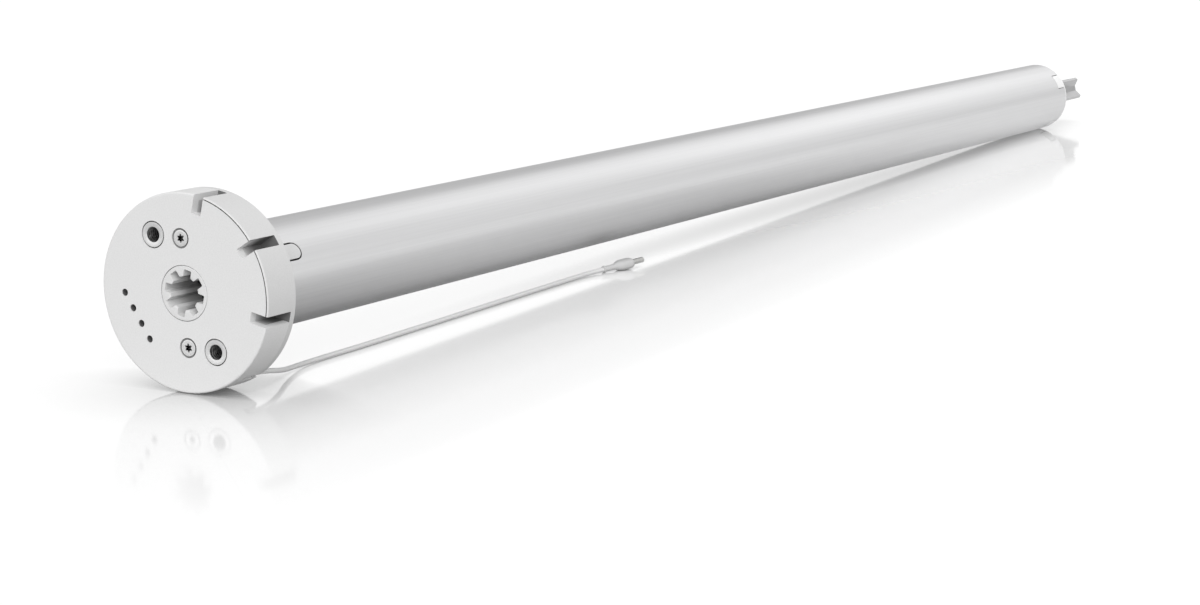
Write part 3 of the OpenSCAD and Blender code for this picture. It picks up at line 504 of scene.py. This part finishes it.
# %% Star socket
socket_r, star_out, star_tip, groove_half = 9.5, 8.0, 5.7, 1.5
socket_len, flange_r, lip_r = 17.5, 12, 9.1


def star_radius(a):
    """Radius of the star at angle a in degrees: the groove's straight bottom or side where that
    lies further out than the circle between the teeth. Angles count from the nearest groove."""
    b = np.radians((a + 22.5) % 45 - 22.5)
    floor = star_out / np.cos(b)
    side = groove_half / np.maximum(np.abs(np.sin(b)), 1e-6)
    return np.maximum(star_tip, np.minimum(floor, side))


turn, round_over = np.linspace(0, 360, 1440, endpoint=False), 5
raw = star_radius(turn)
star = np.mean([np.roll(raw, k) for k in range(-round_over, round_over + 1)], 0)
rows = [
    (socket_len - 0.2, flange_r), (head_t, flange_r), (head_t, socket_r + 0.02),
    (head_t - 0.2, socket_r), (0.8, socket_r), (0.7, lip_r + 0.2), (0.1, lip_r + 0.2),
    (0.02, lip_r + 0.15), (0, lip_r), *[(0, star + (lip_r - star) * k) for k in (0.6, 0.3, 0.06)],
    (0.08, star + 0.03), (0.25, star), *[(x, star) for x in np.linspace(1, 16.5, 12)],
    (socket_len, star), (socket_len, (star + flange_r) / 2), (socket_len, flange_r - 0.2),
]
rings = np.stack([around(x, r, turn) for x, r in rows])
socket = shade(surface("star_socket_moulding", rings, wrap_u=True, wrap_v=True), 40)
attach(socket, "housing")
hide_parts("star_socket")
print("star socket has", len(socket.data.polygons), "faces")

# %% [markdown]
# ## Threaded inserts
#
# Two turned metal sleeves take the bracket's screws. The thread is a wave in the radius that
# climbs one pitch in each turn, so the bore is one smooth grid of angle by depth. A Screw
# modifier could wind a thread as well, but it would have to be joined to the sleeve's wall.

# %% Threaded inserts
insert_at, insert_r, insert_bore, insert_len = 22.5, 4.6, 2.5, 10.0
thread_pitch, thread_high = 1.0, 0.3


def insert_mesh(name, angle):
    """A sleeve: outer wall, rounded face and threaded bore. In the bore the radius grows by a
    triangle wave of (depth / pitch - angle / 360), which fades in from 0.4 to 1 mm of depth."""
    a = np.linspace(0, 360, 96, endpoint=False)
    ca, sa = np.cos(np.radians(a)), np.sin(np.radians(a))
    outer = [
        (insert_len, 3.2), (insert_len, insert_r - 0.2), (insert_len - 0.2, insert_r),
        (0.9, insert_r), (0.8, insert_r - 0.3), (0.12, insert_r - 0.3), (0, insert_r - 0.4),
    ]
    inner = [(0, insert_bore + 0.25), (0.1, insert_bore + 0.12), (0.3, insert_bore + 0.05)]
    rows = [flat_spot(x, r * ca, r * sa, angle, insert_at) for x, r in outer + inner]
    for x in np.linspace(0.5, insert_len - 0.4, 72):
        wave = (x / thread_pitch - a / 360) % 1
        r = insert_bore + thread_high * np.abs(2 * wave - 1) * np.clip((x - 0.4) / 0.6, 0, 1)
        rows.append(flat_spot(x, r * ca, r * sa, angle, insert_at))
    return surface(name, np.stack(rows), wrap_u=True, wrap_v=True)


inserts = [shade(insert_mesh("threaded_insert_" + n, a), 40)
           for n, a in (("lower", 0), ("upper", 180))]
for piece in inserts:
    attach(piece, "housing")
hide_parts("threaded_inserts")
print("inserts:", [len(p.data.polygons) for p in inserts])

# %% [markdown]
# ## Cover screws
#
# Small countersunk screws with a six lobe recess hold the cover. The recess is a cosine wave in
# the radius, six waves to the turn, carried straight down to a dished floor. Cutting it with a
# Boolean would leave long thin triangles in the bright ring round it.

# %% Cover screws
screw_at, screw_angle = 18.5, 30
screw_r, shank_r, screw_len = 2.86, 1.5, 11.8


def screw_mesh(name, angle):
    """A screw from the middle of its recess outwards: pointed floor, six lobe wall with radius
    1.2 + 0.3 cos(6 a), flat ring, rounded rim, cone and shank."""
    a = np.linspace(0, 360, 144, endpoint=False)
    ca, sa = np.cos(np.radians(a)), np.sin(np.radians(a))
    lobe = 1.2 + 0.3 * np.cos(np.radians(6 * a))
    none = 0 * lobe
    recess = [
        (2.3, none), (2.0, lobe * 0.6), (1.8, lobe * 0.97), (1.7, lobe), (0.24, lobe),
        (0.14, lobe + 0.08), (0.14, lobe * 0.3 + 1.7),
    ]
    outside = [
        (0.14, screw_r - 0.18), (0.18, screw_r - 0.06), (0.3, screw_r), (0.5, screw_r),
        (0.55, screw_r - 0.06), (1.9, shank_r), (screw_len - 0.5, shank_r),
        (screw_len, shank_r - 0.5), (screw_len, 0),
    ]
    rows = recess + [(x, none + r) for x, r in outside]
    points = np.stack([flat_spot(x, r * ca, r * sa, angle, screw_at) for x, r in rows])
    return surface(name, points, wrap_v=True)


screws = [shade(screw_mesh("cover_screw_" + n, a), 40)
          for n, a in (("lower", screw_angle), ("upper", screw_angle + 180))]
for piece in screws:
    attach(piece, "housing")
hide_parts("cover_screws")
print("screws:", [len(p.data.polygons) for p in screws])

# %% [markdown]
# ## Materials
#
# Each finish is a Principled shader with a little life in it: moulded plastic has a fine spark
# eroded grain, drawn metal has long thin streaks, and cast metal is mottled. The patterns are
# noise on Object coordinates, stretched where the making left a direction. A photograph mapped
# onto the parts could look as rich, but a formula works at any size and needs no file.
#
# A few helpers keep the node trees short. One makes a node, one fills a socket with a number or
# with a link, and two stand for the Map Range and the Math node.

# %% Node helpers
def add_node(tree, kind, **settings):
    """A new shader node of that kind in the node tree, with its settings."""
    node = tree.nodes.new("ShaderNode" + kind)
    for name, value in settings.items():
        setattr(node, name, value)
    return node


def fill(tree, sockets, values):
    """Fill sockets by name or number: another socket is linked, and anything else is set."""
    for name, value in values.items():
        if isinstance(value, bpy.types.NodeSocket):
            tree.links.new(value, sockets[name])
        else:
            sockets[name].default_value = value


def fade(tree, value, start, end, low, high, kind="SMOOTHSTEP"):
    """A socket that goes from low to high while the socket value goes from start to end, smoothly
    or, of the kind LINEAR, evenly."""
    node = add_node(tree, "MapRange", interpolation_type=kind)
    fill(tree, node.inputs, {
        "Value": value, "From Min": start, "From Max": end, "To Min": low, "To Max": high})
    return node.outputs["Result"]


def maths(tree, operation, a, b, clamp=False):
    """The result of a Math node on a and b, which are numbers or sockets."""
    node = add_node(tree, "Math", operation=operation, use_clamp=clamp)
    fill(tree, node.inputs, {0: a, 1: b})
    return node.outputs["Value"]


# %% [markdown]
# Narrow recesses on the real motor are dark, because little light finds its way in. The studio
# here is white on every side, so that shade is painted: a finish turns darker between two depths
# behind the face. Depth is X, and the distance from the motor's axis is the length of (Y, Z).
# Rendering with a black box round each hole would do the same, but would have to be built for
# each.

# %% Painted shade in recesses
def paint_recess_shade(tree, place, shown, recess_shade):
    """The colour socket shown, with shade painted into its recesses. Each entry of the list is
    (grey, start, end, radius, stop): the colour goes to that grey while the depth goes from start
    to end, inside that radius and no deeper than stop, all in millimetres."""
    split = add_node(tree, "SeparateXYZ")
    fill(tree, split.inputs, {"Vector": place})
    flat = add_node(tree, "CombineXYZ")
    fill(tree, flat.inputs, {side: split.outputs[side] for side in "YZ"})
    radius = add_node(tree, "VectorMath", operation="LENGTH")
    fill(tree, radius.inputs, {0: flat.outputs["Vector"]})
    depth = split.outputs["X"]
    for grey, start, end, inside, stop in recess_shade:
        share = fade(tree, depth, start * MM, end * MM, 0, 1)
        for value, limit in ((radius.outputs["Value"], inside), (depth, stop)):
            below = maths(tree, "LESS_THAN", value, limit * MM)
            share = maths(tree, "MULTIPLY", share, below)
        blend = add_node(tree, "Mix", data_type="RGBA")
        fill(tree, blend.inputs, {"Factor": share, "A": shown, "B": (grey, grey, grey, 1)})
        shown = blend.outputs["Result"]
    return shown


# %% [markdown]
# One noise pattern serves three ends in every finish: it tints the colour, varies the roughness
# and lifts the grain by a tenth of a millimetre. Three separate patterns would cost more and
# would not line up, as wear, tone and grain do on a real surface.

# %% Finish helper
grain_height = 0.0001


def finish_of(name, colour, rough, metal=0.0, grain=900, stretch=(1, 1, 1), bump=0.05,
              spread=0.04, tint=0.03, coat=0.0, sheen=0.0, rim=1.0, recess_shade=()):
    """A Principled material. Noise at grain cells a metre, stretched by the three factors, moves
    the roughness by spread, lightens or darkens the colour by tint and stands up by bump. rim is
    how bright a metal's edge is where it turns away, and the last argument lists the shade that is
    painted into recesses."""
    m = bpy.data.materials.new(name)
    m.use_nodes = True
    tree = m.node_tree
    place = add_node(tree, "TexCoord").outputs["Object"]
    mapping = add_node(tree, "Mapping")
    fill(tree, mapping.inputs, {"Vector": place, "Scale": stretch})
    noise = add_node(tree, "TexNoise")
    fill(tree, noise.inputs, {"Vector": mapping.outputs["Vector"], "Scale": grain, "Detail": 4})
    pattern = noise.outputs["Fac"]
    ramp = add_node(tree, "ValToRGB")
    for mark, position, factor in zip(ramp.color_ramp.elements, (0.3, 0.7), (1 - tint, 1 + tint)):
        mark.position, mark.color = position, (*(min(1, c * factor) for c in colour), 1)
    fill(tree, ramp.inputs, {"Fac": pattern})
    shown = ramp.outputs["Color"]
    # Shade painted into recesses, where the finish lists any.
    if recess_shade:
        shown = paint_recess_shade(tree, place, shown, recess_shade)
    lump = add_node(tree, "Bump")
    fill(tree, lump.inputs, {"Strength": bump, "Distance": grain_height, "Height": pattern})
    smoothest, roughest = max(0.02, rough - spread), min(1, rough + spread)
    fill(tree, tree.nodes["Principled BSDF"].inputs, {
        "Base Color": shown, "Metallic": metal, "Coat Weight": coat, "Sheen Weight": sheen,
        "Roughness": fade(tree, pattern, 0, 1, smoothest, roughest, "LINEAR"),
        "Specular Tint": (rim, rim, rim, 1), "Normal": lump.outputs["Normal"],
    })
    return m


# %% [markdown]
# ### Finishes in sight
#
# The head is light grey plastic with the matt skin that a spark eroded mould gives. The tube is
# drawn and anodised, with streaks along it, and mirrors less at its edges than bare aluminium
# would. The face's side wall in the seam has a dark finish of its own, as the seam is too narrow
# for light. All these pieces could share one grey and one metal, but a slightly different tone on
# each is what makes them read as separate pieces.

# %% Finishes in sight
along = (0.004, 1, 1)
# Where a finish lists shade, it is painted shade in recesses: the notches and holes in the head's
# body and its spigot and tongue inside the tube, the holes in the face, the star hole, the
# inserts' bores, the screws' recesses, the tube's inside and the walls of its slots, and the cap's
# sides inside the tube.
finishes = {
    "head_shell": finish_of(
        "spark_eroded_grey_body", [0.7, 0.7, 0.7], 0.5, grain=1800, bump=0.25,
        recess_shade=[(0.16, 0.5, 10, 33.9, 13), (0.05, 15.05, 15.1, 18.9, 50)]),
    "head_face": finish_of(
        "spark_eroded_grey_face", [0.79, 0.79, 0.79], 0.5, grain=1800, bump=0.25,
        recess_shade=[(0.14, 0.12, 0.6, 27.2, 3.5)]),
    "seam": finish_of("shaded_seam", [0.12, 0.12, 0.12], 0.6, grain=1800, bump=0.1),
    "socket_plastic": finish_of(
        "moulded_grey_socket", [0.76, 0.76, 0.76], 0.42, grain=1800, bump=0.12,
        recess_shade=[(0.4, 0.5, 12, 9.2, 18)]),
    "insert_metal": finish_of(
        "turned_nickel", [0.88, 0.88, 0.88], 0.42, 1.0, 1500, (0.1, 1, 1), 0.1,
        recess_shade=[(0.32, 0.1, 1.2, 30, 11)]),
    "screw_metal": finish_of(
        "bright_zinc", [0.92, 0.92, 0.92], 0.35, 1.0, bump=0.05,
        recess_shade=[(0.12, 0.16, 1.0, 30, 12)]),
    "tube_metal": finish_of(
        "drawn_anodised_aluminium", [0.66, 0.66, 0.665], 0.34, 1.0, 1500, along, 0.08, 0.05,
        rim=0.55, recess_shade=[(0.05, 15, 15.1, 18.8, 800)]),
    "cap_plastic": finish_of(
        "white_moulding", [0.86, 0.86, 0.86], 0.32, recess_shade=[(0.12, 770, 770.1, 18.7, 787)]),
    "shaft_metal": finish_of(
        "sintered_steel", [0.29, 0.29, 0.293], 0.36, 1.0, 1400, bump=0.3, spread=0.1, tint=0.12),
    "lead_grey": finish_of("soft_jacket", [0.74, 0.74, 0.74], 0.5, bump=0.1, sheen=0.1),
    "plug_grey": finish_of("soft_moulding", [0.56, 0.56, 0.56], 0.45, grain=1500, bump=0.12),
    "plug_shell": finish_of("nickel_plate", [0.5, 0.5, 0.49], 0.22, 1.0, bump=0.04),
}
print("finishes in sight:", len(finishes))

# %% [markdown]
# ### Finishes inside
#
# No view of the closed motor shows these, but anyone who opens the model finds a green board,
# blue cells, a plated can, copper coils and oiled gears. Each is one row: its colour, roughness,
# metalness and grain, and then what sets it apart.

# %% Finishes inside
round_axis = (1, 0.05, 0.05)
inside = {
    "grommet_rubber": ("soft_rubber", [0.22, 0.22, 0.22], 0.7, 0.0, 900, {"bump": 0.2}),
    "bush_plastic": ("oiled_plastic", [0.70, 0.66, 0.55], 0.35, 0.0, 700, {}),
    "clip_steel": ("black_oxide", [0.12, 0.12, 0.13], 0.4, 0.9, 900, {"bump": 0.1}),
    "carrier_plastic": ("black_moulding", [0.03, 0.032, 0.035], 0.5, 0.0, 900, {"bump": 0.15}),
    "board_green": ("solder_mask", [0.02, 0.16, 0.06], 0.28, 0.0, 500, {"coat": 0.3}),
    "parts_black": ("moulded_parts", [0.02, 0.02, 0.024], 0.35, 0.0, 900, {"bump": 0.1}),
    "shield_tin": ("tin_plate", [0.66, 0.66, 0.64], 0.3, 1.0, 700, {"bump": 0.08}),
    "holder_plastic": ("grey_moulding", [0.14, 0.15, 0.165], 0.5, 0.0, 900, {"bump": 0.15}),
    "cell_sleeve": (
        "shrunk_film", [0.03, 0.11, 0.25], 0.22, 0.0, 300, {"bump": 0.08, "coat": 0.4}),
    "link_nickel": ("nickel_strip", [0.62, 0.60, 0.55], 0.3, 1.0, 900, {"bump": 0.08}),
    "foam": ("closed_cell_foam", [0.02, 0.02, 0.022], 0.9, 0.0, 500, {"bump": 0.9, "tint": 0.3}),
    "can_steel": (
        "zinc_plated_can", [0.55, 0.56, 0.57], 0.3, 1.0, 900, {"stretch": along, "bump": 0.08}),
    "magnet_black": ("ferrite", [0.03, 0.03, 0.032], 0.6, 0.1, 1200, {"bump": 0.3}),
    "bearing_bronze": ("sintered_bronze", [0.50, 0.28, 0.10], 0.42, 1.0, 1600, {"bump": 0.2}),
    "bell_brown": ("phenolic_brown", [0.06, 0.022, 0.01], 0.4, 0.0, 700, {"bump": 0.1}),
    "brush_carbon": ("carbon_brush", [0.02, 0.02, 0.02], 0.5, 0.2, 1500, {"bump": 0.2}),
    "ground_steel": (
        "ground_steel", [0.62, 0.63, 0.64], 0.2, 1.0, 1500, {"stretch": round_axis}),
    "core_steel": (
        "lamination_steel", [0.16, 0.16, 0.17], 0.45, 0.8, 900,
        {"stretch": (6, 0.05, 0.05), "bump": 0.5}),
    "coil_copper": (
        "enamelled_copper", [0.48, 0.13, 0.04], 0.28, 1.0, 900,
        {"stretch": (1, 3, 3), "bump": 0.3}),
    "brake_grey": ("sintered_iron", [0.12, 0.12, 0.13], 0.5, 0.8, 1200, {"bump": 0.3}),
    "damper_rubber": ("black_rubber", [0.015, 0.015, 0.015], 0.75, 0.0, 900, {"bump": 0.2}),
    "plate_alloy": ("die_cast_alloy", [0.46, 0.46, 0.47], 0.4, 1.0, 700, {"bump": 0.2}),
    "ring_steel": ("oiled_sintered_steel", [0.20, 0.20, 0.205], 0.34, 1.0, 1200, {"bump": 0.2}),
    "gear_steel": ("greased_gear_steel", [0.48, 0.48, 0.49], 0.24, 1.0, 1200, {"bump": 0.08}),
    "carrier_steel": (
        "turned_steel", [0.34, 0.34, 0.355], 0.3, 1.0, 1200,
        {"stretch": round_axis, "bump": 0.08}),
}
for slot, (name, colour, rough, metal, grain, more) in inside.items():
    finishes[slot] = finish_of(name, colour, rough, metal, grain, **more)
print("finishes:", len(finishes))

# %% [markdown]
# ### Dressing the pieces
#
# A CAD node takes the finish that its record names. The pieces made here share those finishes,
# looked up by the same slot names, so a change to a slot's finish reaches them too.

# %% Dress the pieces
slot_of = {s["node"]: s["material_slot"] for s in frame["record"]["subparts"]}
for node, piece in frame["nodes"].items():
    piece.data.materials.clear()
    piece.data.materials.append(finishes[slot_of[node]])
dressed = {
    "head_shell": [head_shell], "head_face": [head_face], "socket_plastic": [socket],
    "insert_metal": inserts, "screw_metal": screws, "tube_metal": [tube_skin],
    "cap_plastic": [end_moulding], "bush_plastic": [shaft_bush], "shaft_metal": [drive_shaft],
    "lead_grey": [lead], "plug_grey": [plug], "plug_shell": [nose],
}
for name, pieces in dressed.items():
    for piece in pieces:
        piece.data.materials.append(finishes[name])
head_face.data.materials.append(finishes["seam"])
print("pieces dressed:", sum(len(pieces) for pieces in dressed.values()))

# %% [markdown]
# ## The table
#
# The motor lies on a white glossy table. The table is one large sheet, tilted so that it touches
# the head's rim and the tube's end. A plane object turned by the same angle would do, but a
# sheet made at its place keeps height and slope in one formula, the one that the lead lies on.

# %% Table
table_half = 40.0
corners = np.array([[[sx * table_half, sy * table_half, 0] for sy in (-1, 1)] for sx in (-1, 1)])
corners[..., 2] = -head_r * MM + (corners[..., 0] - head_t * MM) * lie_slope
table = surface("table", corners)
if table.data.polygons[0].normal.z < 0:
    table.data.flip_normals()
print("table slopes by", round(lie_slope, 4))

# %% [markdown]
# ### The table's matt part
#
# Under its gloss the table is matt white. A little light of its own, seen by the camera only,
# takes it up to paper white. The Ambient Occlusion node darkens that colour and takes that light
# away close to the motor, which paints a soft contact shade on the table: wide in front of the
# head and at the tube's far end, narrow in between.
#
# The lower half of the tube mirrors the table. There the table's colour and a glow of its own,
# seen only in the mirror, are painted darker near the head and brighter towards the far end: a
# painted reflection that makes the tube's lower band run from grey to silver. Flags and cards
# beside the table would do this in a real studio, but they would show in the other views.

# %% Matt part of the table
shade_in_front, shade_at_end = (0.0, 0.05, 0.062, 0.016), (0.7, 0.8, 0.0, 0.02)
shade_reach = (0.0, 0.05, 0.97, 0.75)
tone_mirrored, glow_mirrored = (0.02, 0.25, 0.66, 0.92), (0.35, 0.8, 0.0, 0.5)
tone_plain, tone_seen, glow_seen = 0.4, (0.12, 0.32), (0.12, 0.77)


def either(tree, question, no, yes):
    """A socket that is no where the socket question is 0, and yes where it is 1."""
    return fade(tree, question, 0, 1, no, yes, "LINEAR")


white = bpy.data.materials.new("glossy_white_table")
white.use_nodes = True
tree = white.node_tree
ray = add_node(tree, "LightPath").outputs
place = add_node(tree, "TexCoord").outputs["Object"]
split = add_node(tree, "SeparateXYZ")
fill(tree, split.inputs, {"Vector": place})
tube_x = split.outputs["X"]
# Painted contact shade: the Ambient Occlusion node darkens the colour and the glow that the camera
# sees close to the motor.
reach = maths(tree, "ADD", fade(tree, tube_x, *shade_in_front), fade(tree, tube_x, *shade_at_end))
near = add_node(tree, "AmbientOcclusion", samples=16)
fill(tree, near.inputs, {"Distance": reach})
clear = fade(tree, near.outputs["AO"], 0, fade(tree, tube_x, *shade_reach), 0, 1, "LINEAR")
# Painted reflection: what the tube mirrors of the table goes from dark near the head to bright,
# with a glow, towards the far end.
tone = either(tree, ray["Is Glossy Ray"], tone_plain, fade(tree, tube_x, *tone_mirrored))
glow = either(tree, ray["Is Glossy Ray"], 0, fade(tree, tube_x, *glow_mirrored))
matt = tree.nodes["Principled BSDF"]
fill(tree, matt.inputs, {
    "Base Color": either(tree, ray["Is Camera Ray"], tone, either(tree, clear, *tone_seen)),
    "Emission Strength": either(tree, ray["Is Camera Ray"], glow, either(tree, clear, *glow_seen)),
    "Emission Color": (1, 1, 1, 1), "Roughness": 1, "Specular IOR Level": 0,
})
print("matt part has", len(tree.nodes), "nodes")

# %% [markdown]
# ### The table's gloss
#
# A clear gloss lies over the matt part, mixed by the Fresnel law, so the motor's mirror image is
# strong only at flat angles. It also fades with the distance from the line on which the motor
# lies, as the image on a slightly uneven board does. A Principled coat would be simpler, but its
# strength could not fade in this way without the matt part changing too.

# %% Gloss of the table
gloss_rough, gloss_ior, gloss_fade = 0.085, 1.45, (0.01, 0.2, 1.25, 0.2)
mirror = add_node(tree, "BsdfAnisotropic")
fill(tree, mirror.inputs, {"Color": (1, 1, 1, 1), "Roughness": gloss_rough})
fresnel = add_node(tree, "Fresnel")
fill(tree, fresnel.inputs, {"IOR": gloss_ior})
along_line = add_node(tree, "Clamp")
fill(tree, along_line.inputs, {"Value": tube_x, "Min": 0, "Max": tube_end * MM})
foot = add_node(tree, "CombineXYZ")
fill(tree, foot.inputs, {"X": along_line.outputs["Result"], "Z": split.outputs["Z"]})
away = add_node(tree, "VectorMath", operation="DISTANCE")
fill(tree, away.inputs, {0: place, 1: foot.outputs["Vector"]})
kept = fade(tree, away.outputs["Value"], *gloss_fade)
share = maths(tree, "MULTIPLY", fresnel.outputs["Fac"], kept, clamp=True)
mix = add_node(tree, "MixShader")
fill(tree, mix.inputs, {"Fac": share, 1: matt.outputs["BSDF"], 2: mirror.outputs["BSDF"]})
fill(tree, tree.nodes["Material Output"].inputs, {"Surface": mix.outputs["Shader"]})
table.data.materials.append(white)
print("table:", table.name, "with", white.name)

# %% [markdown]
# ## Studio light
#
# The white walls of the studio are the world. They light the motor softly, and its metal mirrors
# them at full white, which the Light Path node tells apart. A room of real walls would do the
# same and cost more time.

# %% Studio walls
wall_soft, wall_mirrored, wall_seen = 0.5, 1.0, 1.0
world = bpy.data.worlds.new("white_studio")
world.use_nodes = True
bpy.context.scene.world = world
tree = world.node_tree
ray = add_node(tree, "LightPath").outputs
level = either(tree, ray["Is Glossy Ray"], wall_soft, wall_mirrored)
level = either(tree, ray["Is Camera Ray"], level, wall_seen)
fill(tree, tree.nodes["Background"].inputs, {"Color": (1, 1, 1, 1), "Strength": level})
print("walls:", wall_soft, wall_mirrored, wall_seen)

# %% [markdown]
# Three softboxes beyond the tube's far end and beside it draw the bright bands on the metal. A
# wide sun from behind the camera lights the head's face. It is hidden from the gloss, because its
# mirror image would burn out a stripe of the tube in other views.

# %% Lamps
def softbox(name, place, target, width, height, brightness):
    """A rectangular area lamp at place, facing target. brightness is what a mirror would show of
    it, so its power is pi times area times brightness."""
    lamp = bpy.data.lights.new(name, "AREA")
    lamp.shape, lamp.size, lamp.size_y = "RECTANGLE", width, height
    lamp.energy = math.pi * width * height * brightness
    piece = bpy.data.objects.new(name, lamp)
    bpy.context.scene.collection.objects.link(piece)
    back = np.array(place) - np.array(target)
    back /= np.linalg.norm(back)
    right = np.cross([0, 0, 1], back)
    right /= np.linalg.norm(right)
    axes = Matrix((right, np.cross(back, right), back)).transposed().to_4x4()
    piece.matrix_world = Matrix.Translation(place) @ axes


softbox("far_softbox", (3.0, 0.1, 1.6), (0.4, 0, 0), 1.6, 1.2, 0.55)
softbox("low_softbox", (2.2, -1.25, 0.12), (0.4, 0, 0), 1.4, 0.3, 0.12)
softbox("end_panel", (1.6, -0.1, 0.38), (0.8, 0, 0), 0.7, 0.5, 0.5)
key_from, key_power, key_width = (-0.72, -0.52, 0.46), 2.2, 50
key = bpy.data.objects.new("key_light", bpy.data.lights.new("key_light", "SUN"))
key.data.energy, key.data.angle = key_power, math.radians(key_width)
key.visible_glossy = False
key.rotation_mode = "QUATERNION"
key.rotation_quaternion = Vector(key_from).to_track_quat("Z", "Y")
bpy.context.scene.collection.objects.link(key)
